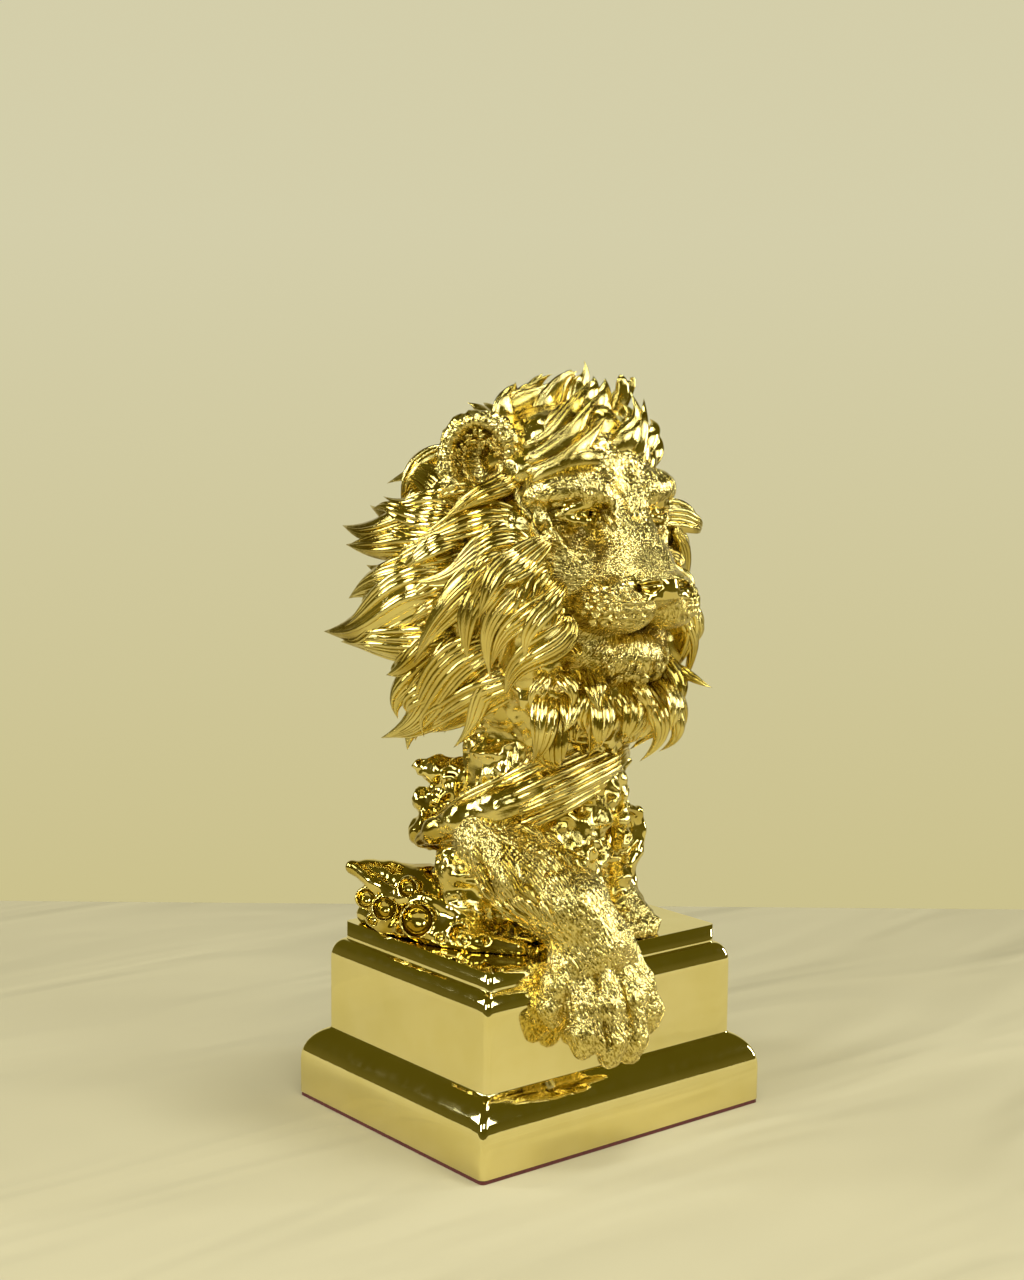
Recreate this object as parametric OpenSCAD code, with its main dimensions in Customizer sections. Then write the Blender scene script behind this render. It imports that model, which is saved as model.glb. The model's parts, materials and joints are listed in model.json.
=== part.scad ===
// Figure trophy: a gold-plated lion bust on a stepped rectangular plinth.
// Millimetres, +Z up, origin at the centre of the plinth's underside, the lion looks along -Y.
// The figure's own points are measured from the centre of the plinth's top face.

/* [Plinth] */
// Width of the plinth's foot, left to right
base_w = 160; // [150:1:200]
// Depth of the plinth's foot, front to back
base_d = 136; // [125:1:170]
// Height of the upright face of the foot
foot_h = 15.2; // [10:0.1:24]
// Height of the ogee moulding above the foot
ogee_h = 15.8; // [10:0.1:24]
// How far the ogee steps in
ogee_in = 10; // [6:0.5:13]
// Height of the middle block
block_h = 32.5; // [25:0.5:50]
// Height of the cove moulding under the top slab
cove_h = 9; // [6:0.5:14]
// How far the cove steps in
cove_in = 5.25; // [3:0.25:8]
// Thickness of the top slab's upright edge
slab_h = 8; // [6:0.5:12]
// Wall of the hollow plinth casting
shell_wall = 6; // [4:0.5:8]
// Thickness of the plinth casting's top
shell_top = 10; // [8:0.5:14]

/* [Underside] */
// Thickness of the felt
felt_t = 1.5; // [1:0.1:3]
// How far the felt stays inside the foot's edge
felt_in = 0.6; // [0.3:0.1:3]
// Thickness of the board that closes the plinth
board_t = 4; // [3:0.5:6]
// Gap all round the board in its rebate
board_gap = 0.3; // [0.2:0.05:0.6]
// Width of the ledge that the board is screwed to
board_ledge = 5; // [4:0.5:8]
// Radius of the board screws' shanks
screw_r = 1.6; // [1.2:0.1:2]
// Length of the board screws
screw_len = 16; // [12:1:22]
// Radius of the screw posts in the plinth
post_r = 5; // [4:0.5:6]

/* [Fixing] */
// Radius of the bolt that ties the figure down
bolt_r = 4; // [3:0.5:5]
// Length of the bolt's shank
bolt_len = 28; // [24:1:34]
// Outer radius of the threaded insert
insert_r = 6.5; // [6:0.5:8]
// Length of the threaded insert
insert_len = 16; // [12:1:20]
// Radius of the locating dowels
dowel_r = 3; // [2:0.5:4]
// Length of the locating dowels
dowel_len = 16; // [12:1:18]
// Radius of the rods through the neck
rod_r = 4; // [3:0.5:5]
// Length of the rods through the neck
rod_len = 56; // [44:1:64]
// Radius of the pins in the forelegs
pin_r = 2.5; // [2:0.5:3]
// Radial gap round a pin, rod, dowel or bolt
pin_gap = 0.05; // [0.03:0.01:0.1]
// Radial gap round the bolt where it passes the plinth
bolt_gap = 0.5; // [0.3:0.1:1]

/* [Figure] */
// Height of the figure above the plinth
figure_h = 250; // [210:1:300]
// Radial glue gap round pins in the castings
glue_gap = 0.15; // [0.1:0.05:0.4]

/* [Hidden] */
$fn = 64;

plated = "gold";
steel = "silver";
plinth_top = felt_t + foot_h + ogee_h + block_h + cove_h + slab_h;
top_w = base_w - 2 * (ogee_in + cove_in);
top_d = base_d - 2 * (ogee_in + cove_in);
cavity_w = base_w - 2 * (ogee_in + shell_wall);
cavity_d = base_d - 2 * (ogee_in + shell_wall);
neck_w = top_w - 2 * shell_wall;
neck_d = top_d - 2 * shell_wall;
block_top = plinth_top - slab_h - cove_h;
ceiling_z = plinth_top - shell_top;
board_w = cavity_w + 2 * board_ledge;
board_d = cavity_d + 2 * board_ledge;
post_sink = 1.5;
post_x = cavity_w / 2 - post_r + post_sink;
post_y = cavity_d / 2 - post_r + post_sink;
post_h = screw_len + 8;
hull_sides = 10;

// The figure was drawn 250 high, with its origin 52.75 behind the plinth's front top edge
pattern_h = 250;
pattern_reach = 52.75;
figure_scale = figure_h / pattern_h;
figure_at = [0, -(top_d / 2 - pattern_reach * figure_scale), plinth_top];
head_x = 4;
left_tuck = 0.88;

washer_t = 1.6;
lock_t = 2;
bolt_head_h = 5.3;
bolt_head_r = 1.9 * bolt_r;
washer_r = 2.1 * bolt_r;
bolt_at = [0, 4];
dowel_at = [[-20, 10], [20, 10]];
rod_at = [[-8, -8], [14, -8]];
rod_z = 62;
paw_pin_at = [-18, -24];
leg_pin_at = [24, -38];
pin_len = 14;

// Lion's locks: root, middle, tip, width, thickness. The first number of each point is the
// distance out from the head's middle plane, so that one list serves both sides.
upper_locks = [
    [[28, -20, 206], [46, -22, 195], [60, -7, 182], 10, 6],
    [[34, 1, 191], [46, 14, 196], [46, 52, 196], 13, 8],
    [[38, -4, 184], [50, 18, 187], [51, 58, 186], 14, 8],
    [[42, -3, 175], [57, 25, 180], [61, 65, 177], 16, 9],
    [[44, -6, 169], [60, 22, 171], [64, 58, 169], 14, 8],
    [[44, -12, 164], [60, 10, 163], [64, 42, 161], 15, 9],
    [[40, -34, 186], [52, -14, 182], [62, 12, 172], 13, 7],
    [[40, -42, 172], [54, -24, 168], [66, 6, 156], 14, 7]];
lower_locks = [
    [[44, -12, 156], [64, 16, 157], [68, 50, 146], 18, 9],
    [[44, -9, 147], [67, 18, 144], [71, 65, 130], 22, 11],
    [[44, -12, 137], [64, 17, 129], [68, 56, 126], 16, 9],
    [[42, -48, 166], [66, -8, 152], [67, 8, 126], 16, 8],
    [[40, -56, 174], [56, -30, 160], [63, -13, 133], 12, 7],
    [[37, -58, 157], [48, -44, 151], [57, -26, 130], 12, 7],
    [[35, -61, 145], [44, -53, 132], [48, -35, 110], 12, 7],
    [[42, -35, 132], [56, -2, 110], [61, 35, 85], 20, 10],
    [[46, -6, 135], [60, 14, 113], [60, 24, 95], 13, 8],
    [[38, -43, 116], [51, -8, 102], [53, 30, 88], 15, 8]];
far_lock = [[36, -32, 180], [56, -38, 182], [76, -31, 177], 14, 8];
left_upper_locks = concat([for (i = [1 : len(upper_locks) - 1]) upper_locks[i]], [far_lock]);
crest = [
    [[-22, -6, 218], [-9, -20, 225], [11, -36, 238], 15, 8],
    [[-16, 2, 216], [-9, 6, 230], [-7, 5, 241], 12, 8],
    [[-4, -4, 218], [0, 0, 234], [3, -3, 245], 12, 8],
    [[4, -20, 220], [3, -20, 238], [5, -20, 247], 13, 9],
    [[10, -26, 220], [8, -26, 238], [9, -24, 250], 13, 9],
    [[16, -30, 218], [16, -30, 234], [17, -28, 247], 13, 8],
    [[20, -28, 214], [22, -37, 228], [19, -38, 240], 12, 9],
    [[24, -30, 206], [26, -41, 216], [22, -42, 227], 11, 8],
    [[30, -22, 200], [40, -32, 214], [37, -31, 225], 12, 8],
    [[26, -6, 214], [24, -8, 228], [22, -10, 240], 13, 8],
    [[14, 4, 218], [14, 10, 232], [16, 14, 242], 13, 8],
    [[-4, 12, 216], [-2, 22, 226], [-2, 34, 232], 14, 8],
    [[16, 14, 214], [18, 24, 222], [20, 36, 226], 14, 8]];
throat_locks = [
    [[0, -52, 122], [0, -62, 104], [2, -54, 80], 15, 9],
    [[14, -52, 122], [17, -60, 106], [13, -52, 84], 14, 8],
    [[26, -54, 126], [30, -56, 108], [26, -44, 86], 14, 8],
    [[32, -52, 124], [40, -44, 108], [38, -32, 88], 14, 8]];
sweep_path = [[35, -19, 82, 4], [27, -27, 80, 6], [14, -33, 78, 9], [-4, -36, 74, 10],
    [-20, -33, 68, 11], [-32, -22, 60, 11], [-40, -6, 53, 9], [-44, 10, 46, 6], [-45, 20, 40, 3]];

// ---------- helpers ----------
function unit(v) = v / norm(v);
function bend(a, b, c) = 2 * b - (a + c) / 2;
function curve_at(a, b, c, t) = (1 - t) * (1 - t) * a + 2 * t * (1 - t) * bend(a, b, c) + t * t * c;
function curve_dir(a, b, c, t) = unit((1 - t) * (bend(a, b, c) - a) + t * (c - bend(a, b, c)));
function swell(t) = sin(38 + 142 * t);

// A flame-shaped lock of hair that tapers to a point, with its flat side turned to `centre`
module lock(spec, centre) {
    rings = 6;
    sides = 6;
    a = spec[0];
    b = spec[1];
    c = spec[2];
    wide = unit(cross(c - a, b - centre));
    ring_points = [
        for (i = [0 : rings - 1])
            let (t = i / rings, p = curve_at(a, b, c, t), along = curve_dir(a, b, c, t),
                across = unit(wide - (wide * along) * along), away = cross(across, along))
            for (k = [0 : sides - 1])
                p + swell(t) / 2 * (across * spec[3] * cos(k * 360 / sides)
                    + away * spec[4] * sin(k * 360 / sides))];
    tip = rings * sides;
    walls = [
        for (i = [0 : rings - 2]) for (k = [0 : sides - 1])
            let (p = i * sides + k, q = i * sides + (k + 1) % sides)
            for (f = [[p, q, q + sides], [p, q + sides, p + sides]]) f];
    point = [for (k = [0 : sides - 1]) [tip - sides + k, tip - sides + (k + 1) % sides, tip]];
    root = [[for (k = [sides - 1 : -1 : 0]) k]];
    polyhedron(concat(ring_points, [c]), concat(root, walls, point));
}

module locks(list, centre) {
    for (spec = list)
        lock(spec, centre);
}

module ball(p) {
    translate([p[0], p[1], p[2]])
        sphere(r = p[3], $fn = hull_sides);
}

// One smooth mass round all the balls
module mass(balls) {
    hull()
        for (p = balls)
            ball(p);
}

// A limb that follows the balls one after another
module chain(balls) {
    for (i = [0 : len(balls) - 2])
        mass([balls[i], balls[i + 1]]);
}

// Puts the figure's pattern on the plinth at its size
module on_plinth() {
    translate(figure_at)
        scale(figure_scale)
            children();
}

// A place on the plinth's top face under a point of the pattern
function top_place(p) = [p[0] * figure_scale, figure_at[1] + p[1] * figure_scale, plinth_top];

// The lion's right is -X; both sides are drawn with the middle plane at zero
module lion_right() {
    translate([head_x, 0, 0])
        mirror([1, 0, 0])
            children();
}

module lion_left() {
    translate([head_x, 0, 0])
        scale([left_tuck, 1, 1])
            children();
}

module rounded_slab(w, d, t, r) {
    linear_extrude(t) {
        square([w - 2 * r, d], center = true);
        square([w, d - 2 * r], center = true);
        for (sx = [-1, 1], sy = [-1, 1])
            translate([sx * (w / 2 - r), sy * (d / 2 - r)])
                circle(r);
    }
}

// ---------- plinth ----------
// Half outline of the plinth for a foot `size` wide: [distance out, height]
function plinth_side(size) = [
    [size / 2, felt_t],
    for (i = [0 : 6])
        let (t = i / 6)
        [size / 2 - ogee_in * (1 - cos(80 * t)) / (1 - cos(80)),
            felt_t + foot_h + ogee_h * sin(80 * t) / sin(80) * (1 - 0.18 * t * (1 - t))],
    for (i = [0 : 5])
        let (t = i / 5)
        [size / 2 - ogee_in - cove_in * (1 - cos(90 * t)), block_top + cove_h * sin(90 * t)],
    [size / 2 - ogee_in - cove_in, plinth_top]];

module plinth_profile(size, length) {
    side = plinth_side(size);
    n = len(side);
    rotate([90, 0, 0])
        linear_extrude(length, center = true)
            polygon(concat(side, [for (i = [n - 1 : -1 : 0]) [-side[i][0], side[i][1]]]));
}

module plinth_outside() {
    intersection() {
        plinth_profile(base_w, base_d);
        rotate([0, 0, 90])
            plinth_profile(base_d, base_w);
    }
}

module box_from(w, d, z0, z1) {
    translate([-w / 2, -d / 2, z0])
        cube([w, d, z1 - z0]);
}

module at_posts() {
    for (sx = [-1, 1], sy = [-1, 1])
        translate([sx * post_x, sy * post_y, felt_t])
            children();
}

module plinth_shell() color(plated) {
    difference() {
        plinth_outside();
        difference() {
            union() {
                box_from(cavity_w, cavity_d, 0, block_top - 3);
                box_from(neck_w, neck_d, block_top - 4, ceiling_z);
            }
            at_posts()
                translate([0, 0, board_t])
                    cylinder(r = post_r, h = post_h);
        }
        box_from(board_w, board_d, 0, felt_t + board_t);
        at_posts()
            translate([0, 0, board_t - 1])
                cylinder(r = screw_r + pin_gap, h = screw_len);
        translate(top_place(bolt_at) - [0, 0, shell_top + 1])
            cylinder(r = bolt_r + bolt_gap, h = shell_top + 2);
        for (p = dowel_at)
            translate(top_place(p) - [0, 0, dowel_len / 2])
                cylinder(r = dowel_r + pin_gap, h = dowel_len);
        translate(top_place(leg_pin_at) - [0, 0, pin_len / 2])
            cylinder(r = pin_r + pin_gap, h = pin_len);
        paw_pin(pin_gap);
    }
}

module bottom_board() color("burlywood") {
    w = board_w - 2 * board_gap;
    d = board_d - 2 * board_gap;
    difference() {
        box_from(w, d, felt_t, felt_t + board_t);
        at_posts() {
            translate([0, 0, -1])
                cylinder(r = screw_r + bolt_gap, h = board_t + 2);
            cylinder(r1 = 2 * screw_r + pin_gap, r2 = screw_r + pin_gap, h = 1.2 * screw_r);
        }
    }
}

module felt_pad() color("darkred") {
    rounded_slab(base_w - 2 * felt_in, base_d - 2 * felt_in, felt_t, 2);
}

module board_screws() color(steel) {
    at_posts() {
        cylinder(r1 = 2 * screw_r, r2 = screw_r, h = 1.2 * screw_r);
        cylinder(r = screw_r, h = screw_len);
    }
}

// ---------- fixing ----------
bolt_place = top_place(bolt_at);
head_seat_z = ceiling_z - washer_t - lock_t;

module ring(r_out, r_in, h) {
    difference() {
        cylinder(r = r_out, h = h);
        translate([0, 0, -1])
            cylinder(r = r_in, h = h + 2);
    }
}

module tie_bolt() color(steel) {
    translate([bolt_place[0], bolt_place[1], head_seat_z]) {
        cylinder(r = bolt_r, h = bolt_len);
        translate([0, 0, -bolt_head_h])
            cylinder(r = bolt_head_r, h = bolt_head_h, $fn = 6);
    }
}

module flat_washer() color(steel) {
    translate([bolt_place[0], bolt_place[1], ceiling_z - washer_t])
        ring(washer_r, bolt_r + bolt_gap / 2, washer_t);
}

// A split spring washer between the bolt's head and the flat washer
module lock_washer() color(steel) {
    translate([bolt_place[0], bolt_place[1], head_seat_z])
        difference() {
            ring(bolt_head_r, bolt_r + bolt_gap / 2, lock_t);
            rotate([0, 25, 0])
                translate([bolt_r, -bolt_r, -bolt_r])
                    rotate([20, 0, 0])
                        translate([0, bolt_r - 1, -1])
                            cube([2 * bolt_r, 1.2, 4 * bolt_r]);
        }
}

module chest_insert() color("goldenrod") {
    translate(bolt_place)
        difference() {
            ring(insert_r, bolt_r + pin_gap, insert_len);
            for (z = [insert_len / 3, 2 * insert_len / 3])
                translate([0, 0, z - 1])
                    ring(insert_r + 1, insert_r - 0.8, 2);
        }
}

module locating_dowels() color(steel) {
    for (p = dowel_at)
        translate(top_place(p) - [0, 0, dowel_len / 2])
            cylinder(r = dowel_r, h = dowel_len);
}

function rod_place(p) = top_place(p) + [0, 0, rod_z * figure_scale];

module rods(gap) {
    for (p = rod_at)
        translate(rod_place(p) - [0, 0, gap])
            cylinder(r = rod_r + gap, h = rod_len + 2 * gap);
}

module neck_rods() color(steel) {
    rods(0);
}

// Level pin that ties the hanging paw to the plinth's front
module paw_pin(gap) {
    translate([paw_pin_at[0] * figure_scale, -base_d / 2 + ogee_in + shell_wall - 1 + gap,
        plinth_top + paw_pin_at[1] * figure_scale])
        rotate([90, 0, 0])
            cylinder(r = pin_r + gap, h = pin_len + 2 * gap);
}

module top_pin(gap) {
    translate(top_place(leg_pin_at) - [0, 0, pin_len / 2 + gap])
        cylinder(r = pin_r + gap, h = pin_len + 2 * gap);
}

module leg_pins() color(steel) {
    paw_pin(0);
    top_pin(0);
}

// ---------- castings ----------
// Everything below the plinth's top face, which flattens what stands on it
module under_top() {
    translate([-base_w, -base_d, plinth_top - base_w])
        cube([2 * base_w, 2 * base_d, base_w]);
}

module chest_form() {
    mass([[1, -4, 84, 35], [1, -7, 66, 34]]);
    mass([[1, -7, 68, 34], [-2, -2, 44, 34]]);
    mass([[-2, -2, 44, 33], [-4, 4, 16, 38]]);
    chain([[0, -20, 62, 20], [-4, -24, 40, 20], [-6, -22, 16, 24]]);
    chain([[-26, -8, 50, 16], [-34, -4, 30, 17], [-34, 0, 12, 20]]);
    chain([[24, 0, 44, 14], [30, 6, 26, 16], [32, 8, 10, 18]]);
    chain([[-16, 24, 40, 16], [10, 26, 26, 18], [-2, 26, 10, 22]]);
}

module chest_casting() color(plated) {
    difference() {
        on_plinth()
            chest_form();
        on_plinth()
            head_form();
        under_top();
        translate(bolt_place - [0, 0, 1])
            cylinder(r = insert_r + glue_gap, h = insert_len + 3);
        for (p = dowel_at)
            translate(top_place(p) - [0, 0, 1])
                cylinder(r = dowel_r + glue_gap, h = dowel_len / 2 + 2);
        rods(glue_gap);
    }
}

// Skull, brows, cheeks, muzzle, chin and the top of the neck, from the middle plane
module head_form() {
    translate([head_x, 0, 0]) {
        mass([[0, -16, 202, 32], [0, 2, 190, 30], [0, -12, 172, 34]]);
        mass([[0, -8, 160, 36], [0, 0, 140, 34], [0, -8, 118, 32]]);
        for (side = [-1, 1]) {
            mass([[side * 15, -40, 196, 12], [side * 12, -26, 204, 14]]);
            mass([[side * 24, -30, 180, 15], [side * 22, -38, 160, 19], [side * 18, -40, 142, 18]]);
            mass([[side * 12.5, -67, 150.5, 13], [side * 12, -50, 150, 16]]);
            mass([[side * 9, -44, 194, 9], [side * 7, -54, 184, 8]]);
            ball([side * 19, -45, 188, 8]);
        }
        mass([[-6, -50, 187, 9], [6, -50, 187, 9], [-5, -70, 159, 8.5], [5, -70, 159, 8.5]]);
        mass([[-10, -76, 160, 5], [10, -76, 160, 5], [-5, -77, 157, 6.5], [5, -77, 157, 6.5]]);
        mass([[-6, -60, 128, 11.5], [6, -60, 128, 11.5], [0, -61, 127, 12], [0, -40, 130, 21]]);
    }
}

module head_casting() color(plated) {
    difference() {
        on_plinth()
            head_form();
        on_plinth()
            translate([head_x, 0, 0])
                for (side = [-1, 1])
                    translate([side * 8, -85, 159])
                        sphere(r = 3, $fn = hull_sides);
        rods(glue_gap);
    }
}

// A round, thick-rimmed ear, hollow towards the front and the outside
module ear_form() {
    turn = 55;
    rim = [for (i = [0 : 9])
        let (a = -58 + i * 33)
        [15 * cos(a), 0, 17 * sin(a), i < 1 || i > 8 ? 4 : 5]];
    translate([41, -9, 208])
        rotate([0, 0, turn])
            difference() {
                union() {
                    chain(rim);
                    mass([[0, 7, -2, 12], [-6, 10, -8, 12]]);
                    translate([0, 3, 0])
                        scale([1, 0.5, 1.1])
                            sphere(r = 15, $fn = hull_sides);
                }
                translate([0, -6, 2])
                    scale([0.8, 0.9, 1])
                        sphere(r = 14, $fn = hull_sides);
            }
}

module crest_form() {
    mass([[head_x - 12, -12, 217, 16], [head_x + 12, -12, 217, 16], [head_x, 10, 212, 17]]);
    chain([[-22, -6, 210, 10], [-13, -19, 221, 10], [7, -27, 225, 10], [22, -27, 219, 10],
        [31, -23, 209, 9], [35, -20, 198, 8]]);
    chain([[-20, 4, 208, 10], [4, 12, 214, 12], [26, 6, 208, 10]]);
    locks(crest, [head_x, -150, 200]);
}

mane_centre = [0, -8, 165];

// The mass that the side locks grow from: root line behind the cheek, ear to throat
module upper_mane_form(list) {
    chain([[24, 0, 200, 12], [26, 14, 190, 18], [30, 10, 176, 20], [32, -6, 168, 18]]);
    chain([[30, -16, 192, 12], [34, -26, 180, 11], [36, -34, 170, 10]]);
    mass([[28, 22, 182, 18], [26, 20, 168, 22]]);
    chain([[26, 20, 196, 14], [30, 24, 182, 15], [34, 20, 168, 15]]);
    locks(list, mane_centre);
}

module lower_mane_form() {
    chain([[32, -10, 158, 19], [34, -6, 142, 20], [30, -10, 124, 20], [26, -14, 106, 17]]);
    chain([[37, -37, 160, 12], [38, -41, 142, 12], [36, -41, 126, 13], [32, -30, 113, 11]]);
    mass([[34, -12, 150, 17], [37, -36, 152, 11]]);
    mass([[31, -12, 124, 18], [35, -36, 122, 12]]);
    chain([[30, 14, 152, 20], [32, 14, 134, 20], [28, 8, 114, 17]]);
    locks(lower_locks, mane_centre);
}

module back_mane_form() {
    chain([[head_x, 14, 206, 20], [head_x, 24, 186, 26], [head_x, 26, 160, 30],
        [head_x, 24, 134, 30], [head_x, 14, 108, 26], [head_x, 8, 92, 18]]);
    for (side = [-1, 1])
        chain([[head_x + side * 14, 22, 190, 18], [head_x + side * 18, 26, 160, 22],
            [head_x + side * 16, 22, 128, 22]]);
    for (row = [0 : 4], col = [-2 : 2])
        let (lean = (col + (row % 2) / 2 - 0.25) * 26, z = 206 - row * 24, reach = 50 + 4 * sin(row * 45))
        lock([[head_x + 24 * sin(lean), 20 + 18 * cos(lean), z],
            [head_x + (reach - 6) * sin(lean), 10 + (reach - 4) * cos(lean), z - 4],
            [head_x + (reach + 6) * sin(lean), 8 + (reach + 6) * cos(lean), z - 18],
            20, 10], [head_x, -10, 165]);
}

module throat_form() {
    chain([[-27, -37, 113, 15], [-12, -42, 116, 13], [head_x, -44, 114, 14], [20, -42, 116, 13],
        [32, -34, 118, 13]]);
    mass([[-16, -30, 104, 14], [24, -30, 104, 14], [head_x, -34, 92, 14]]);
    chain([[-26, -24, 104, 11], [-14, -30, 94, 11], [head_x, -34, 90, 11], [22, -30, 94, 11]]);
    lion_right()
        locks(throat_locks, [0, -20, 110]);
    lion_left()
        locks([for (i = [1 : 3]) throat_locks[i]], [0, -20, 110]);
}

// Cast section: its form less the pieces that it is glued to
module section() {
    difference() {
        on_plinth()
            children(0);
        on_plinth()
            for (i = [1 : $children - 1])
                children(i);
    }
}

module right_ear() color(plated) {
    section() {
        lion_right()
            ear_form();
        union() {
            head_form();
            crest_form();
        }
    }
}

module left_ear() color(plated) {
    section() {
        lion_left()
            ear_form();
        union() {
            head_form();
            crest_form();
        }
    }
}

module crest_locks() color(plated) {
    section() {
        crest_form();
        head_form();
    }
}

module mane_neighbours() {
    head_form();
    chest_form();
    crest_form();
    back_mane_form();
}

module right_upper_mane() color(plated) {
    section() {
        lion_right()
            upper_mane_form(upper_locks);
        mane_neighbours();
        lion_right()
            ear_form();
    }
}

module left_upper_mane() color(plated) {
    section() {
        lion_left()
            upper_mane_form(left_upper_locks);
        mane_neighbours();
        lion_left()
            ear_form();
    }
}

module right_lower_mane() color(plated) {
    section() {
        lion_right()
            lower_mane_form();
        mane_neighbours();
        lion_right()
            upper_mane_form(upper_locks);
        throat_form();
    }
}

module left_lower_mane() color(plated) {
    section() {
        lion_left()
            lower_mane_form();
        mane_neighbours();
        lion_left()
            upper_mane_form(left_upper_locks);
        throat_form();
    }
}

module back_mane() color(plated) {
    section() {
        back_mane_form();
        head_form();
        chest_form();
        crest_form();
    }
}

module throat_ruff() color(plated) {
    section() {
        throat_form();
        head_form();
        chest_form();
    }
}

module sweep_form() {
    chain(sweep_path);
    for (lift = [-1, 1])
        chain([for (i = [0 : len(sweep_path) - 1])
            let (p = sweep_path[i])
            [p[0], p[1] - 1, p[2] + lift * p[3] * 0.55, max(p[3] * 0.5, 1)]]);
}

module shoulder_sweep() color(plated) {
    section() {
        sweep_form();
        chest_form();
        head_form();
        throat_form();
    }
}

module crag_form() {
    chain([[-22, 24, 64, 12], [-30, 30, 68, 7], [-37, 36, 71, 3]]);
    chain([[-24, 26, 54, 13], [-34, 34, 54, 7]]);
    chain([[-24, 22, 42, 15], [-34, 28, 42, 10], [-39, 32, 40, 5]]);
    chain([[18, -6, 64, 13], [34, -10, 66, 8], [46, -13, 71, 2]]);
    chain([[22, 4, 54, 14], [34, -8, 52, 9], [38, -12, 50, 5]]);
    chain([[20, 24, 60, 12], [26, 32, 64, 7], [30, 38, 68, 3]]);
    chain([[4, 28, 50, 15], [8, 38, 52, 9], [10, 44, 56, 4]]);
    chain([[-24, 24, 44, 14], [-10, 30, 46, 13], [4, 28, 50, 15], [20, 24, 56, 13], [26, 10, 56, 13],
        [28, -4, 60, 11]]);
}

module shoulder_crags() color(plated) {
    section() {
        crag_form();
        chest_form();
        head_form();
        throat_form();
        back_mane_form();
        sweep_form();
    }
}

// A thick shell that curls up from the plinth's top, pierced with round bubbles
module right_scroll_form() {
    bubbles = [[-63, 20, 11, 5], [-57, 2, 9, 8], [-48, -14, 6, 5], [-56, 12, 22, 5], [-66, 32, 14, 4]];
    difference() {
        union() {
            chain([[-44, 28, 14, 14], [-54, 34, 20, 10], [-62, 37, 25, 6], [-70, 39, 28, 3]]);
            mass([[-42, 18, 14, 15], [-40, 34, 10, 15], [-44, 2, 9, 12], [-36, -12, 6, 10]]);
            chain([[-44, 56, 3, 4], [-58, 44, 4, 5], [-62, 24, 4, 5], [-56, -2, 4, 5],
                [-48, -20, 3, 5], [-36, -36, 2, 5]]);
            chain([[-52, 26, 6, 8], [-52, 6, 6, 8], [-44, -14, 5, 8]]);
        }
        for (p = bubbles)
            ball(p);
    }
}

module left_scroll_form() {
    difference() {
        union() {
            chain([[34, -2, 28, 12], [42, -3, 39, 9], [49, -4, 43, 6], [57, -7, 41, 4],
                [58, -8, 30, 4], [51, -7, 20, 6], [53, -8, 8, 6], [55, -10, 2, 5]]);
            chain([[34, 6, 12, 14], [46, 6, 8, 10], [54, 14, 4, 7]]);
            mass([[38, -2, 20, 11], [48, -1, 24, 7], [48, -1, 34, 7]]);
        }
        ball([49, -12, 32, 7]);
    }
}

module right_scroll() color(plated) {
    section() {
        right_scroll_form();
        chest_form();
        crag_form();
        sweep_form();
        below();
    }
}

module left_scroll() color(plated) {
    section() {
        left_scroll_form();
        chest_form();
        crag_form();
        sweep_form();
        below();
    }
}

// The half space under the pattern's own ground
module below() {
    translate([-base_w, -base_w, -base_w])
        cube([2 * base_w, 2 * base_w, base_w]);
}

// Shoulder, foreleg and the paw that hangs over the plinth's front edge
module right_foreleg_form() {
    mass([[-36, -12, 46, 17], [-34, -38, 34, 16]]);
    mass([[-34, -38, 34, 16], [-24, -54, 22, 17]]);
    mass([[-24, -54, 22, 17], [-16, -60, 4, 19]]);
    mass([[-24, -60, -4, 14], [-4, -60, -4, 14], [-24, -62, -18, 13], [0, -62, -16, 13]]);
    toes = [
        [[-27, -64, -14, 10], [-31, -72, -28, 9]],
        [[-19, -68, -14, 10], [-21, -76, -33, 9]],
        [[-9, -68, -14, 10], [-9, -75, -33, 9]],
        [[0, -64, -10, 10], [5, -70, -24, 9]],
        [[-34, -60, -6, 9], [-39, -60, -18, 7]]];
    for (toe = toes)
        chain(toe);
}

module left_foreleg_form() {
    mass([[16, -14, 26, 14], [23, -30, 12, 12]]);
    mass([[23, -30, 12, 12], [25, -40, 7, 10]]);
    toes = [
        [[18, -38, 6, 6], [16, -46, 4, 5]],
        [[22, -40, 6, 6], [21, -48, 4, 5]],
        [[28, -40, 6, 6], [27, -48, 4, 5]],
        [[32, -36, 6, 6], [33, -44, 4, 5]]];
    for (toe = toes)
        chain(toe);
    chain([[12, -20, 16, 10], [22, -20, 12, 10], [30, -24, 10, 8]]);
}

module right_foreleg() color(plated) {
    difference() {
        section() {
            right_foreleg_form();
            chest_form();
            crag_form();
            sweep_form();
            right_scroll_form();
        }
        plinth_outside();
        paw_pin(glue_gap);
    }
}

module left_foreleg() color(plated) {
    difference() {
        section() {
            left_foreleg_form();
            chest_form();
            sweep_form();
            left_scroll_form();
            right_foreleg_form();
        }
        plinth_outside();
        top_pin(glue_gap);
    }
}

plinth_shell();
bottom_board();
felt_pad();
board_screws();
tie_bolt();
flat_washer();
lock_washer();
chest_insert();
locating_dowels();
neck_rods();
leg_pins();
chest_casting();
head_casting();
right_ear();
left_ear();
crest_locks();
right_upper_mane();
right_lower_mane();
left_upper_mane();
left_lower_mane();
back_mane();
throat_ruff();
shoulder_sweep();
shoulder_crags();
right_scroll();
left_scroll();
right_foreleg();
left_foreleg();
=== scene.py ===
import json
import math

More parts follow.
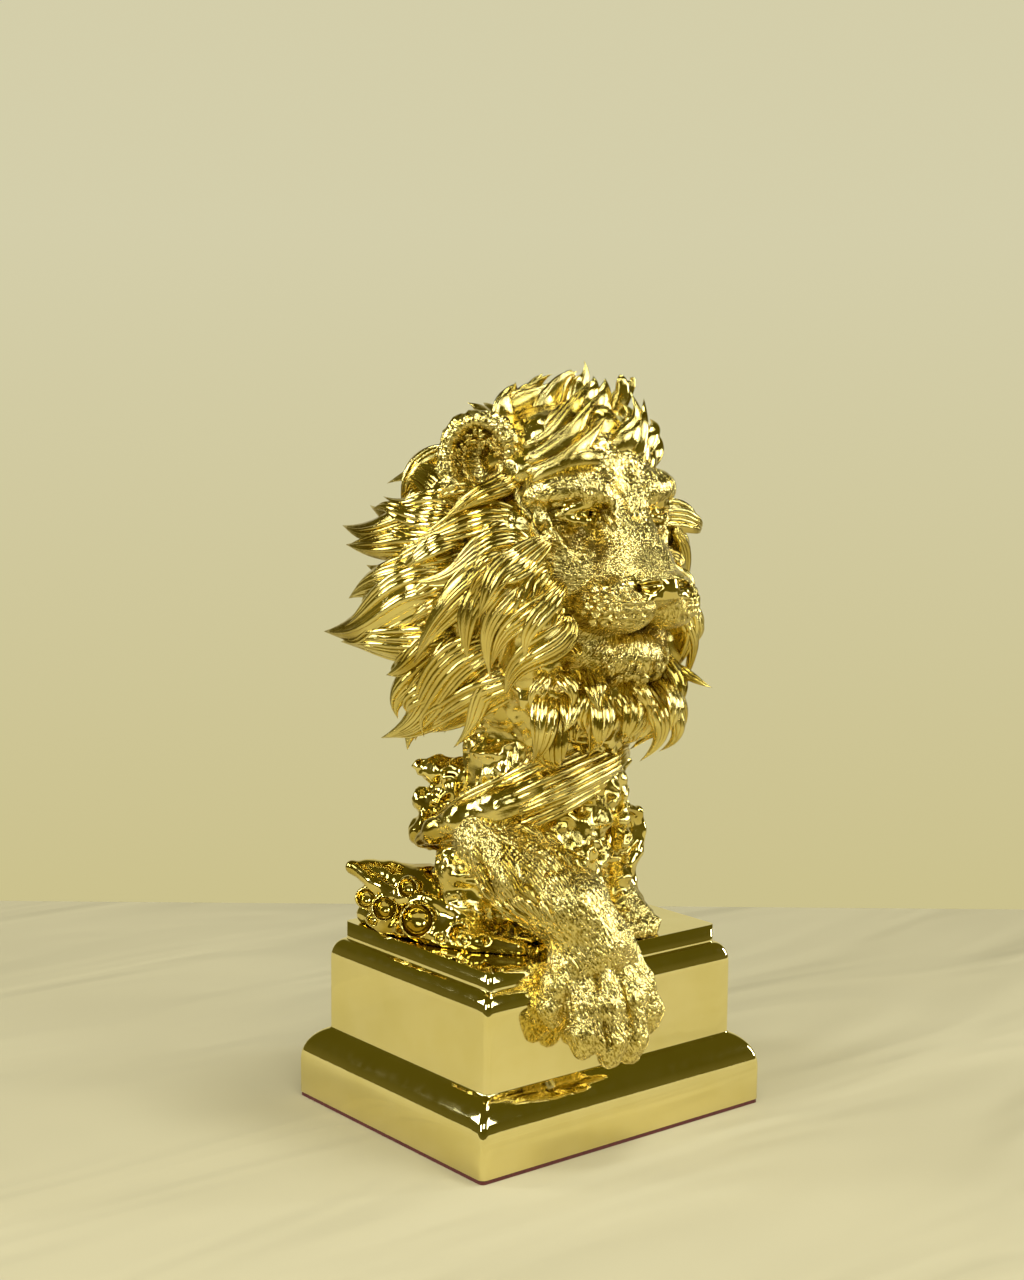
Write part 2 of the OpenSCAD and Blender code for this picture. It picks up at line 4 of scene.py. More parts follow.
import bmesh
import bpy
import numpy as np
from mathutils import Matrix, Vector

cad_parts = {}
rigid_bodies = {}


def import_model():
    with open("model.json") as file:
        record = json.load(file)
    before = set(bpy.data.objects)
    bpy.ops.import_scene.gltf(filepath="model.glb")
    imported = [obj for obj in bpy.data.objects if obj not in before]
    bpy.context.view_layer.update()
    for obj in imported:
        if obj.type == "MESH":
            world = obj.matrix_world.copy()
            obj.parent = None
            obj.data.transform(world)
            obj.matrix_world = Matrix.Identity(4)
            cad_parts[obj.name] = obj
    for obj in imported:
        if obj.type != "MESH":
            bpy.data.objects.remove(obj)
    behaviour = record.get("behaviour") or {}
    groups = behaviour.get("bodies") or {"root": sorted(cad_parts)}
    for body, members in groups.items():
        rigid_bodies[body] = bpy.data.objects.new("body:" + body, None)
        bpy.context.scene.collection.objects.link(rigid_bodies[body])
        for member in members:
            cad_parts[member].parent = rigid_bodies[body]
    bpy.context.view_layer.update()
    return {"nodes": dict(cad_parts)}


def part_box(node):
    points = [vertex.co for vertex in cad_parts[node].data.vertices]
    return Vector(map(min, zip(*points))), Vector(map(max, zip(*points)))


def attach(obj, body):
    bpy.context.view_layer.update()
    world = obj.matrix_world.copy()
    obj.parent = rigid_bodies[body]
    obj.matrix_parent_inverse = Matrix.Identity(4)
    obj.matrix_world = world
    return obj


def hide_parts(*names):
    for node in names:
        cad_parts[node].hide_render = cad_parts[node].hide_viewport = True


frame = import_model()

import openvdb
from mathutils import Matrix, Vector
from mathutils.bvhtree import BVHTree

mm = 0.001
plinthLow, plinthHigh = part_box("plinth_shell")
headLow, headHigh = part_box("head_casting")
groundZ = plinthHigh.z  # the figure's own points are measured from the plinth's top
headX = (headLow.x + headHigh.x) / 2 / mm
rng = np.random.default_rng(7)


def toMetres(points):
    out = np.asarray(points, float) * mm
    out[:, 2] += groundZ
    return out


def meshFrom(name, verts, faces, smooth=True):
    mesh = bpy.data.meshes.new(name)
    mesh.from_pydata([tuple(v) for v in verts], [], [tuple(f) for f in faces])
    mesh.update()
    if smooth:
        mesh.polygons.foreach_set("use_smooth", [True] * len(mesh.polygons))
    piece = bpy.data.objects.new(name, mesh)
    bpy.context.scene.collection.objects.link(piece)
    return piece


def quadMesh(name, verts, quads):
    # the quick way in for the big meshes
    mesh = bpy.data.meshes.new(name)
    mesh.vertices.add(len(verts))
    mesh.vertices.foreach_set("co", np.asarray(verts, np.float32).ravel())
    mesh.loops.add(quads.size)
    mesh.loops.foreach_set("vertex_index", quads.astype(np.int32).ravel())
    mesh.polygons.add(len(quads))
    mesh.polygons.foreach_set("loop_start", np.arange(0, quads.size, 4, dtype=np.int32))
    mesh.polygons.foreach_set("use_smooth", np.ones(len(quads), bool))
    mesh.update(calc_edges=True)
    mesh.validate()
    piece = bpy.data.objects.new(name, mesh)
    bpy.context.scene.collection.objects.link(piece)
    return piece


def grain(points, seed=0):
    # smooth random field from -1 to 1, one cell per unit
    cell = np.floor(points).astype(np.int64)
    part = points - cell
    part = part * part * (3 - 2 * part)
    total = np.zeros(len(points))
    for corner in range(8):
        step = np.array([corner & 1, corner >> 1 & 1, corner >> 2 & 1])
        c = cell + step
        h = c[:, 0] * 73856093 ^ c[:, 1] * 19349663 ^ c[:, 2] * 83492791 ^ (seed * 2654435761)
        h = ((h ^ (h >> 13)) & 0xFFFFFFFF) * 1274126177 & 0xFFFFFFFF
        h = (h ^ (h >> 16)) & 0xFFFF
        weight = np.prod(np.where(step == 1, part, 1 - part), axis=1)
        total += weight * (h / 32767.5 - 1)
    return total


def setFlow(piece, values):
    # where a vertex lies along and across the strands, for the fine hair in the finish
    layer = piece.data.attributes.new("flow", "FLOAT_VECTOR", "POINT")
    layer.data.foreach_set("vector", np.asarray(values, np.float32).ravel())


def vertexPlaces(piece):
    co = np.zeros(len(piece.data.vertices) * 3)
    piece.data.vertices.foreach_get("co", co)
    return co.reshape(-1, 3)


def figurePlaces(piece):
    co = vertexPlaces(piece)
    co[:, 2] -= groundZ
    return co / mm


def inFigure(places):
    # from metres in the frame to the figure's own millimetres
    return np.asarray(places) / mm - [0, 0, groundZ / mm]


def pushOut(piece, amount):
    # moves each vertex along its normal by so many millimetres
    normals = np.zeros(len(piece.data.vertices) * 3, np.float32)
    piece.data.vertex_normals.foreach_get("vector", normals)
    co = vertexPlaces(piece) + normals.reshape(-1, 3) * (np.asarray(amount) * mm)[:, None]
    piece.data.vertices.foreach_set("co", co.astype(np.float32).ravel())
    piece.data.update()


def joined(name, pieces):
    with bpy.context.temp_override(active_object=pieces[0], object=pieces[0],
                                   selected_objects=pieces, selected_editable_objects=pieces):
        bpy.ops.object.join()
    pieces[0].name = name
    pieces[0].data.name = name
    return pieces[0]


class Clay:
    # a block of clay on a grid: each cell holds its distance from the surface, in millimetres
    def __init__(self, low, high, step, mirrorX=None):
        self.step = step
        self.mirrorX = mirrorX
        self.low = np.array(low, float)
        if mirrorX is not None:
            self.low[0] = 0
            high = [high[0] - mirrorX, high[1], high[2]]
        size = [int(math.ceil((h - l) / step)) + 1 for l, h in zip(self.low, high)]
        self.axes = [self.low[i] + step * np.arange(size[i]) for i in range(3)]
        self.field = np.full(size, 60, np.float32)

    def window(self, low, high, margin):
        cuts = []
        for axis in range(3):
            first = int(np.searchsorted(self.axes[axis], low[axis] - margin))
            last = int(np.searchsorted(self.axes[axis], high[axis] + margin))
            cuts.append(slice(first, last))
        return tuple(cuts)

    def cells(self, cuts):
        x, y, z = (self.axes[i][cuts[i]].astype(np.float32) for i in range(3))
        return x[:, None, None], y[None, :, None], z[None, None, :]

    def press(self, cuts, distance, soft, cut):
        old = self.field[cuts]
        if cut:
            old = -old
        if soft > 0:
            h = np.clip(0.5 + 0.5 * (distance - old) / soft, 0, 1)
            new = distance * (1 - h) + old * h - soft * h * (1 - h)
        else:
            new = np.minimum(old, distance)
        self.field[cuts] = -new if cut else new

    def local(self, p):
        return np.array([p[0] - (self.mirrorX or 0), p[1], p[2]], float)

    def limb(self, balls, soft=3, cut=False):
        # a chain of balls [x, y, z, r] run together
        for a, b in zip(balls, balls[1:]) if len(balls) > 1 else [(balls[0], balls[0])]:
            pa, pb = self.local(a), self.local(b)
            big = max(a[3], b[3])
            cuts = self.window(np.minimum(pa, pb) - big, np.maximum(pa, pb) + big, soft + 3 * self.step)
            x, y, z = self.cells(cuts)
            along = pb - pa
            span = max(float(along @ along), 1e-6)
            t = ((x - pa[0]) * along[0] + (y - pa[1]) * along[1] + (z - pa[2]) * along[2]) / span
            t = np.clip(t, 0, 1)
            far = np.sqrt((x - pa[0] - t * along[0]) ** 2 + (y - pa[1] - t * along[1]) ** 2
                          + (z - pa[2] - t * along[2]) ** 2)
            self.press(cuts, far - (a[3] + t * (b[3] - a[3])), soft, cut)

    def egg(self, centre, radii, soft=3, cut=False, turn=(0, 0, 0), square=2):
        # an ellipsoid, turned by degrees about x, y and z; square above 2 makes it boxier
        c = self.local(centre)
        r = np.array(radii, float)
        spin = Matrix.Rotation(math.radians(turn[2]), 3, "Z")
        for degrees, axis in ((turn[1], "Y"), (turn[0], "X")):
            spin = spin @ Matrix.Rotation(math.radians(degrees), 3, axis)
        inv = np.array(spin.transposed())
        reach = np.abs(np.array(spin)) @ r
        cuts = self.window(c - reach, c + reach, soft + 3 * self.step)
        x, y, z = self.cells(cuts)
        dx, dy, dz = x - c[0], y - c[1], z - c[2]
        q = [inv[i, 0] * dx + inv[i, 1] * dy + inv[i, 2] * dz for i in range(3)]
        k0 = sum(np.abs(q[i] / r[i]) ** square for i in range(3)) ** (1 / square)
        k1 = np.sqrt(sum((q[i] / r[i] ** 2) ** 2 for i in range(3))) + 1e-6
        self.press(cuts, k0 * (k0 - 1) / k1, soft, cut)

    def mesh(self, name):
        field = self.field
        low = self.low.copy()
        if self.mirrorX is not None:
            field = np.concatenate([field[:0:-1], field], axis=0)
            low[0] = self.mirrorX - self.step * (self.field.shape[0] - 1)
        field = np.pad(np.clip(field, -8, 8), 1, constant_values=8)
        grid = openvdb.FloatGrid(8)
        grid.copyFromArray(np.ascontiguousarray(field, np.float32))
        verts, _, quads = grid.convertToPolygons(0.0, 0.0)
        verts = (verts - 1) * self.step + low
        a, b, c, d = (verts[quads[:, i]] for i in range(4))
        turned = np.einsum("ij,ij->i", a + b + c + d, np.cross(c - a, d - b)).sum()
        if turned < 0:
            quads = quads[:, ::-1]
        return quadMesh(name, toMetres(verts), quads)


def newMaterial(name):
    material = bpy.data.materials.new(name)
    material.use_nodes = True
    nodes, links = material.node_tree.nodes, material.node_tree.links
    shader = nodes["Principled BSDF"]
    return material, nodes, links, shader


def addNode(nodes, kind, **values):
    node = nodes.new(kind)
    for key, value in values.items():
        setattr(node, key, value)
    return node


def objectPlace(nodes):
    return addNode(nodes, "ShaderNodeTexCoord").outputs["Object"]


def cloud(nodes, links, vector, scale, detail=2.0, roughness=0.5, wander=0.0):
    noise = addNode(nodes, "ShaderNodeTexNoise")
    noise.inputs["Scale"].default_value = scale
    noise.inputs["Detail"].default_value = detail
    noise.inputs["Roughness"].default_value = roughness
    noise.inputs["Distortion"].default_value = wander
    links.new(vector, noise.inputs["Vector"])
    return noise.outputs["Fac"]


def stretched(nodes, links, vector, scale, turn=0.0):
    mapping = addNode(nodes, "ShaderNodeMapping")
    mapping.inputs["Rotation"].default_value = (0, 0, turn)
    mapping.inputs["Scale"].default_value = scale
    links.new(vector, mapping.inputs["Vector"])
    return mapping.outputs["Vector"]


def colourRamp(nodes, links, value, colours, places=(0, 1)):
    ramp = addNode(nodes, "ShaderNodeValToRGB")
    for element, colour, place in zip(ramp.color_ramp.elements, colours, places):
        element.position = place
        element.color = colour
    links.new(value, ramp.inputs["Fac"])
    return ramp.outputs["Color"]


def rangeOf(nodes, links, value, low, high, start=0.0, end=1.0):
    spread = addNode(nodes, "ShaderNodeMapRange")
    spread.inputs["From Min"].default_value = start
    spread.inputs["From Max"].default_value = end
    spread.inputs["To Min"].default_value = low
    spread.inputs["To Max"].default_value = high
    links.new(value, spread.inputs["Value"])
    return spread.outputs["Result"]


def relief(nodes, links, height, depth, below=None):
    bump = addNode(nodes, "ShaderNodeBump")
    bump.inputs["Distance"].default_value = depth
    links.new(height, bump.inputs["Height"])
    if below is not None:
        links.new(below, bump.inputs["Normal"])
    return bump.outputs["Normal"]


# depths and sizes in millimetres
goldLook = {
    "tint": (0.85, 0.71, 0.25, 1), "deepTint": (0.48, 0.35, 0.05, 1),
    # groove is painted shade: the darker gold laid into the valleys between the fur's hairs
    "groove": (0.38, 0.28, 0.05, 1),
    "paleTint": (0.90, 0.79, 0.38, 1), "warmTint": (0.85, 0.74, 0.32, 1),
    "plateRoughness": (0.05, 0.13), "furRoughness": (0.16, 0.27), "plinthRoughness": (0.03, 0.08),
    "rippleDepth": 0.22, "furRipple": 0.15, "plinthRipple": 0.05,
    "strandDepth": 0.07, "strandStretch": (5.0, 0.5, 1.0),
    "faceDepth": 0.45, "legDepth": 0.7, "faceGrit": 0.38, "legGrit": 0.3, "gritSize": 1.15,
}


def goldPlate(name, roughness, ripple, strand=0.0, fur=0.0, grit=0.0, tints=("deepTint", "tint")):
    # bright electroplate: a wavy cast skin, with fine strands or fur along the flow where asked
    material, nodes, links, shader = newMaterial(name)
    shader.inputs["Metallic"].default_value = 1
    place = objectPlace(nodes)
    blotch = cloud(nodes, links, place, 38, 3)
    tint = colourRamp(nodes, links, blotch, [goldLook[key] for key in tints], (0.32, 0.62))
    haze = cloud(nodes, links, place, 210, 5)
    gloss = rangeOf(nodes, links, haze, roughness[0], roughness[1], 0.3, 0.7)
    links.new(gloss, shader.inputs["Roughness"])
    normal = relief(nodes, links, cloud(nodes, links, place, 90), ripple * mm)
    if grit:
        sand = cloud(nodes, links, place, 1 / (goldLook["gritSize"] * mm), 1)
        normal = relief(nodes, links, sand, grit * mm, normal)
    if strand or fur:
        flow = addNode(nodes, "ShaderNodeAttribute", attribute_name="flow").outputs["Vector"]
    if strand:
        combed = stretched(nodes, links, flow, goldLook["strandStretch"])
        strands = cloud(nodes, links, combed, 1, 3, 0.62)
        normal = relief(nodes, links, strands, strand * mm, normal)
    if fur:
        # painted shade: the fur's colour darkens to the groove tint down between the hairs, in the valleys
        # of the hair bump
        hair = cloud(nodes, links, flow, 1, 1, 0.62)
        normal = relief(nodes, links, hair, fur * mm, normal)
        tint = colourRamp(nodes, links, hair, [goldLook["groove"], goldLook["tint"]], (0.36, 0.56))
    links.new(tint, shader.inputs["Base Color"])
    links.new(normal, shader.inputs["Normal"])
    return material


plateGold = goldPlate("plateGold", goldLook["plateRoughness"], goldLook["rippleDepth"])
strandGold = goldPlate("strandGold", goldLook["plateRoughness"], goldLook["rippleDepth"],
                       strand=goldLook["strandDepth"])
furGold = goldPlate("furGold", goldLook["furRoughness"], goldLook["furRipple"],
                    fur=goldLook["faceDepth"], grit=goldLook["faceGrit"])
legGold = goldPlate("legGold", goldLook["furRoughness"], goldLook["furRipple"],
                    fur=goldLook["legDepth"], grit=goldLook["legGrit"])
plinthGold = goldPlate("plinthGold", goldLook["plinthRoughness"], goldLook["plinthRipple"],
                       tints=("warmTint", "paleTint"))


def show(piece, node):
    # every finished piece stands for one CAD node and moves with the one body
    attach(piece, "root")
    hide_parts(node)


# the lock tree: a rail down the middle of every lock becomes a tapered body with strands lying on it
lockLook = {"bodySides": 14, "strandSides": 6, "strandSize": 1.35, "splay": 0.35, "sway": 0.08,
            "rootSink": 4.0, "seed": 4}


class Tree:
    def __init__(self, name, sockets):
        self.group = bpy.data.node_groups.new(name, "GeometryNodeTree")
        self.ids = {}
        for label, kind, value in [("Geometry", "NodeSocketGeometry", None)] + sockets:
            socket = self.group.interface.new_socket(label, in_out="INPUT", socket_type=kind)
            if value is not None:
                socket.default_value = value
            self.ids[label] = socket.identifier
        self.group.interface.new_socket("Geometry", in_out="OUTPUT", socket_type="NodeSocketGeometry")
        self.input = self.group.nodes.new("NodeGroupInput")
        self.output = self.group.nodes.new("NodeGroupOutput")

    def add(self, kind, *values, out=0, **settings):
        node = self.group.nodes.new(kind)
        for key, value in settings.items():
            setattr(node, key, value)
        sockets = [s for s in node.inputs if s.enabled]
        for socket, value in zip(sockets, values):
            if value is None:
                continue
            if isinstance(value, bpy.types.NodeSocket):
                self.group.links.new(value, socket)
            else:
                socket.default_value = value
        return [s for s in node.outputs if s.enabled][out]

    def math(self, operation, *values):
        return self.add("ShaderNodeMath", *values, operation=operation)

    def scaled(self, vector, amount):
        node = self.group.nodes.new("ShaderNodeVectorMath")
        node.operation = "SCALE"
        self.group.links.new(vector, node.inputs["Vector"])
        self.group.links.new(amount, node.inputs["Scale"])
        return node.outputs["Vector"]

    def plus(self, a, b):
        return self.add("ShaderNodeVectorMath", a, b, operation="ADD")

    def named(self, name, kind="FLOAT"):
        return self.add("GeometryNodeInputNamedAttribute", name, data_type=kind)

    def store(self, geometry, name, value, kind="FLOAT", domain="POINT"):
        return self.add("GeometryNodeStoreNamedAttribute", geometry, None, name, value, data_type=kind,
                        domain=domain)


def lockTree():
    t = Tree("lockTree", [("Body Sides", "NodeSocketInt", 20), ("Strand Sides", "NodeSocketInt", 8),
                          ("Strand Size", "NodeSocketFloat", 1.2), ("Splay", "NodeSocketFloat", 0.3),
                          ("Seed", "NodeSocketInt", 1), ("Finish", "NodeSocketMaterial", None)])
    into = t.input.outputs
    rails = t.add("GeometryNodeMeshToCurve", into["Geometry"])
    rails = t.store(rails, "railAt", t.add("GeometryNodeInputPosition"), "FLOAT_VECTOR")
    along, width, thick = t.named("along"), t.named("lockWidth"), t.named("lockThick")
    wide, away = t.named("lockWide", "FLOAT_VECTOR"), t.named("lockAway", "FLOAT_VECTOR")
    strands, number = t.named("lockStrands"), t.named("lockNumber")
    railAt = t.named("railAt", "FLOAT_VECTOR")
    around = t.named("around")

    def swell(place, floor=0.015):
        # narrow root, full middle, pointed tip
        turn = t.math("MULTIPLY_ADD", t.math("POWER", place, 0.75), math.radians(170), math.radians(10))
        return t.math("MAXIMUM", t.math("SINE", turn), floor)

    def profile(sides):
        ring = t.add("GeometryNodeCurvePrimitiveCircle", sides, 1.0, mode="RADIUS")
        return t.store(ring, "around", t.math("DIVIDE", t.add("GeometryNodeInputIndex"), sides))

    # body, grooved lengthwise between its strands
    body = t.add("GeometryNodeCurveToMesh", rails, profile(into["Body Sides"]), 0.001, True)
    angle = t.math("MULTIPLY", around, 2 * math.pi)
    full = swell(along)
    groove = t.math("MULTIPLY_ADD", t.math("COSINE", t.math("MULTIPLY", angle, strands)), 0.07, 0.86)
    halfWide = t.math("MULTIPLY", t.math("MULTIPLY", t.math("MULTIPLY", width, 0.5), full),
                      t.math("COSINE", angle))
    halfThick = t.math("MULTIPLY", t.math("MULTIPLY", t.math("MULTIPLY", thick, 0.5), full),
                       t.math("SINE", angle))
    across = t.scaled(wide, t.math("MULTIPLY", halfWide, groove))
    out = t.scaled(away, t.math("MULTIPLY", halfThick, groove))
    body = t.add("GeometryNodeSetPosition", body, None, t.plus(railAt, t.plus(across, out)))
    body = t.store(body, "lie", t.math("MULTIPLY", t.math("MULTIPLY", around, width), 2200.0))

    # strands side by side over the body, each with its own length, height and drift
    copies = t.group.nodes.new("GeometryNodeDuplicateElements")
    copies.domain = "SPLINE"
    t.group.links.new(rails, copies.inputs["Geometry"])
    t.group.links.new(strands, copies.inputs["Amount"])
    copy = copies.outputs["Duplicate Index"]
    bundle = t.store(copies.outputs["Geometry"], "copyOf", copy)
    copy = t.named("copyOf")
    label = t.math("MULTIPLY_ADD", number, 37.0, copy)

    def chance(low, high, offset):
        return t.add("FunctionNodeRandomValue", low, high, label,
                     t.math("ADD", into["Seed"], float(offset)), data_type="FLOAT")

    # the outer strands stop short of the tip, so that the end splits
    share = t.math("DIVIDE", t.math("ADD", copy, 0.5), strands)
    side = t.math("MULTIPLY_ADD", share, 2.0, -1.0)
    side = t.math("ADD", side, chance(-0.12, 0.12, 3))
    short = t.math("MULTIPLY", t.math("ABSOLUTE", side), chance(0.0, 0.26, 0))
    reach = t.math("SUBTRACT", 1.0, short)
    bundle = t.store(bundle, "reach", reach)
    bundle = t.add("GeometryNodeTrimCurve", bundle, None, 0.0, t.named("reach"), mode="FACTOR")
    place = t.math("DIVIDE", along, t.named("reach"))
    fullness = swell(place)
    drift = t.math("MULTIPLY", t.math("POWER", place, 2.0), into["Splay"])
    spread = t.math("MULTIPLY", side, t.math("ADD", 0.86, drift))
    across = t.scaled(wide, t.math("MULTIPLY", t.math("MULTIPLY", t.math("MULTIPLY", width, 0.5), spread),
                                   fullness))
    crown = t.math("MULTIPLY", t.math("COSINE", t.math("MULTIPLY", side, 1.25)), chance(0.5, 0.95, 1))
    rise = t.math("MULTIPLY", t.math("MULTIPLY", t.math("MULTIPLY", thick, 0.5), crown), fullness)
    bundle = t.add("GeometryNodeSetPosition", bundle, None,
                   t.plus(railAt, t.plus(across, t.scaled(away, rise))))
    radius = t.math("DIVIDE", t.math("MULTIPLY", t.math("MULTIPLY", width, 0.5), into["Strand Size"]),
                    strands)
    radius = t.math("MULTIPLY", t.math("MULTIPLY", radius, fullness), chance(0.75, 1.1, 2))
    strandMesh = t.add("GeometryNodeCurveToMesh", bundle, profile(into["Strand Sides"]), radius, True)
    strandMesh = t.store(strandMesh, "lie", t.math("MULTIPLY", t.math("MULTIPLY", around, radius), 6300.0))

    both = t.group.nodes.new("GeometryNodeJoinGeometry")
    t.group.links.new(strandMesh, both.inputs[0])
    t.group.links.new(body, both.inputs[0])
    lie = t.add("ShaderNodeCombineXYZ", t.math("MULTIPLY_ADD", number, 9.7, t.named("lie")),
                t.math("MULTIPLY", along, t.math("MULTIPLY", t.named("lockLong"), 1000.0)), number)
    made = t.store(both.outputs[0], "flow", lie, "FLOAT_VECTOR")
    made = t.add("GeometryNodeSetShadeSmooth", made, None, True)
    made = t.add("GeometryNodeRealizeInstances", made)
    made = t.add("GeometryNodeSetMaterial", made, None, into["Finish"])
    t.group.links.new(made, t.output.inputs[0])
    return t


locksTree = lockTree()


def unit(v):
    return v / (np.linalg.norm(v, axis=-1, keepdims=True) + 1e-9)


def lockRail(spec, centre, steps=18):
    # a smooth bend through root, middle and tip, with the directions across and away from the body
    a, b, c = (np.array(p, float) for p in spec[:3])
    a = a - lockLook["rootSink"] * unit(a - np.array(centre, float)) * (abs(centre[1]) < 100)
    bend = 2 * b - (a + c) / 2
    s = np.linspace(0, 1, steps)[:, None]
    wide = unit(np.cross(c - a, b - np.array(centre, float)))
    swing = rng.uniform(-1, 1) * lockLook["sway"] * np.linalg.norm(c - a)
    points = (1 - s) ** 2 * a + 2 * s * (1 - s) * bend + s * s * c + wide * swing * np.sin(2 * math.pi * s)
    heading = unit(np.gradient(points, axis=0))
    across = unit(wide - (heading @ wide)[:, None] * heading)
    return points, across, np.cross(across, heading)


def growLocks(name, locks, centre, finish, steps=18, look=lockLook, rails=None):
    # builds the rails of all these locks as one mesh and lets the lock tree dress them
    rails = rails or [lockRail(spec, centre, steps) for spec in locks]
    verts = np.concatenate([r[0] for r in rails])
    counts = [len(r[0]) for r in rails]
    starts = np.cumsum([0] + counts[:-1])
    edges = [(start + i, start + i + 1) for start, n in zip(starts, counts) for i in range(n - 1)]
    mesh = bpy.data.meshes.new(name)
    mesh.from_pydata([tuple(v) for v in toMetres(verts)], edges, [])
    piece = bpy.data.objects.new(name, mesh)
    bpy.context.scene.collection.objects.link(piece)
    long = [np.linalg.norm(np.diff(r[0], axis=0), axis=1).sum() * mm for r in rails]
    strands = [s[5] if len(s) > 5 else max(3, round(s[3] / 2.7)) for s in locks]
    values = {"along": np.concatenate([np.linspace(0, 1, n) for n in counts]),
              "lockWidth": np.repeat([s[3] * mm for s in locks], counts),
              "lockThick": np.repeat([s[4] * mm for s in locks], counts),
              "lockStrands": np.repeat(strands, counts), "lockLong": np.repeat(long, counts),
              "lockNumber": np.repeat(np.arange(len(locks)), counts)}
    for key, value in values.items():
        mesh.attributes.new(key, "FLOAT", "POINT").data.foreach_set("value", np.asarray(value, np.float32))
    for key, column in (("lockWide", 1), ("lockAway", 2)):
        stack = np.concatenate([r[column] for r in rails]).astype(np.float32)
        mesh.attributes.new(key, "FLOAT_VECTOR", "POINT").data.foreach_set("vector", stack.ravel())
    grow = piece.modifiers.new("locks", "NODES")
    grow.node_group = locksTree.group
    inputs = {"Body Sides": look["bodySides"], "Strand Sides": look["strandSides"], "Seed": look["seed"],
              "Strand Size": look["strandSize"], "Splay": look["splay"], "Finish": finish}
    for label, value in inputs.items():
        grow[locksTree.ids[label]] = value
    return settled(piece)


def settled(piece):
    # the evaluated tree becomes a plain mesh with its faces outward
    bpy.context.view_layer.update()
    graph = bpy.context.evaluated_depsgraph_get()
    mesh = bpy.data.meshes.new_from_object(piece.evaluated_get(graph))
    piece.modifiers.clear()
    piece.data = mesh
    bm = bmesh.new()
    bm.from_mesh(mesh)
    bmesh.ops.recalc_face_normals(bm, faces=bm.faces)
    bm.to_mesh(mesh)
    bm.free()
    keep = {"position", "flow", "material_index", "sharp_face"}
    for layer in [a.name for a in mesh.attributes if a.name not in keep and not a.name.startswith(".")]:
        mesh.attributes.remove(mesh.attributes[layer])
    return piece


def fillLocks(locks, count, near=3, width=(6, 11), jitter=3.0, length=(0.35, 0.62), sink=3.0,
              centre=(0, -8, 165), droop=0.0):
    # smaller locks between the big ones: a blend of two neighbours, shorter and closer to the body
    mids = np.array([s[1] for s in locks], float)
    extra = []
    for _ in range(count):
        k = int(rng.integers(len(locks)))
        order = np.argsort(np.linalg.norm(mids - mids[k], axis=1))
        j = int(order[1 + rng.integers(min(near, len(locks) - 1))])
        share = rng.uniform(0.15, 0.85)
        pts = [(1 - share) * np.array(locks[k][n], float) + share * np.array(locks[j][n], float)
               for n in range(3)]
        start = rng.uniform(0, 0.35)
        end = start + rng.uniform(*length)
        bend = 2 * pts[1] - (pts[0] + pts[2]) / 2

        def at(s):
            return (1 - s) ** 2 * pts[0] + 2 * s * (1 - s) * bend + s * s * pts[2]

        a, b, c = at(start), at((start + end) / 2), at(min(end, 1.0))
        shift = rng.normal(0, jitter, 3)
        away = unit(b - np.array(centre, float))
        a = a + shift - away * (sink + 2)
        b = b + shift + rng.normal(0, 1, 3) - away * (sink - 1.5)
        c = c + shift * 1.2 + rng.normal(0, 1.5, 3) - away * sink
        fall = droop * rng.uniform(0.4, 1.3) * np.linalg.norm(c - a) * min(max((12 - b[1]) / 20, 0), 1)
        b = b - np.array([0, 0.1 * fall, 0.25 * fall])
        c = c - np.array([0.15 * fall, 0.45 * fall, 0.9 * fall])
        w = rng.uniform(*width)
        extra.append([a, b, c, w, w * 0.62])
    return extra


def smoothPath(points, steps):
    # Catmull-Rom through the points
    p = np.array([points[0]] + list(points) + [points[-1]], float)
    out = []
    for s in np.linspace(0, len(points) - 1.0001, steps):
        i = int(s)
        t = s - i
        a, b, c, d = p[i:i + 4]
        out.append(0.5 * (2 * b + (c - a) * t + (2 * a - 5 * b + 4 * c - d) * t * t
                          + (3 * b - a - 3 * c + d) * t ** 3))
    return np.array(out)


def layTufts(name, ground, roots, heading, size, finish, lift=1.2, drop=0.6):
    # short locks that lie along a surface: each is laid over it from its root, combed along the heading
    skin = BVHTree.FromObject(ground, bpy.context.evaluated_depsgraph_get())
    specs, rails = [], []
    for root in roots:
        length, wide, thick = size(root)
        place = Vector(toMetres([root])[0])
        spots = []
        for k in range(6):
            near, normal, _, _ = skin.find_nearest(place)
            if near is None:
                break
            up = lift * math.sin(math.pi * min(k / 4.2, 1)) - (drop if k == 0 else 0)
            spots.append((near + normal * up * mm, normal))
            flow = Vector(heading(inFigure(near)))
            flow = (flow - normal * flow.dot(normal)).normalized()
            place = near + flow * (length / 5 * mm)
        if len(spots) < 6:
            continue
        path = smoothPath([list(inFigure(p)) for p, _ in spots], 8)
        head = unit(np.gradient(path, axis=0))
        out = np.array(spots[2][1])
        wideWay = unit(np.cross(head, out))
        rails.append((path, wideWay, np.cross(wideWay, head)))
        specs.append([root, root, root, wide, thick, 2 if wide < 4 else 3])
    return growLocks(name, specs, None, finish, rails=rails,
                     look=dict(lockLook, bodySides=6, strandSides=4))


def broader(locks, more):
    return [spec[:3] + [spec[3] * more, spec[4] * more] + spec[5:] for spec in locks]


def sideways(locks, out):
    # each point's first number is its distance out from the head's middle; out < 0 is the lion's right
    return [[[headX + out * p[0], p[1], p[2]] for p in spec[:3]] + list(spec[3:]) for spec in locks]


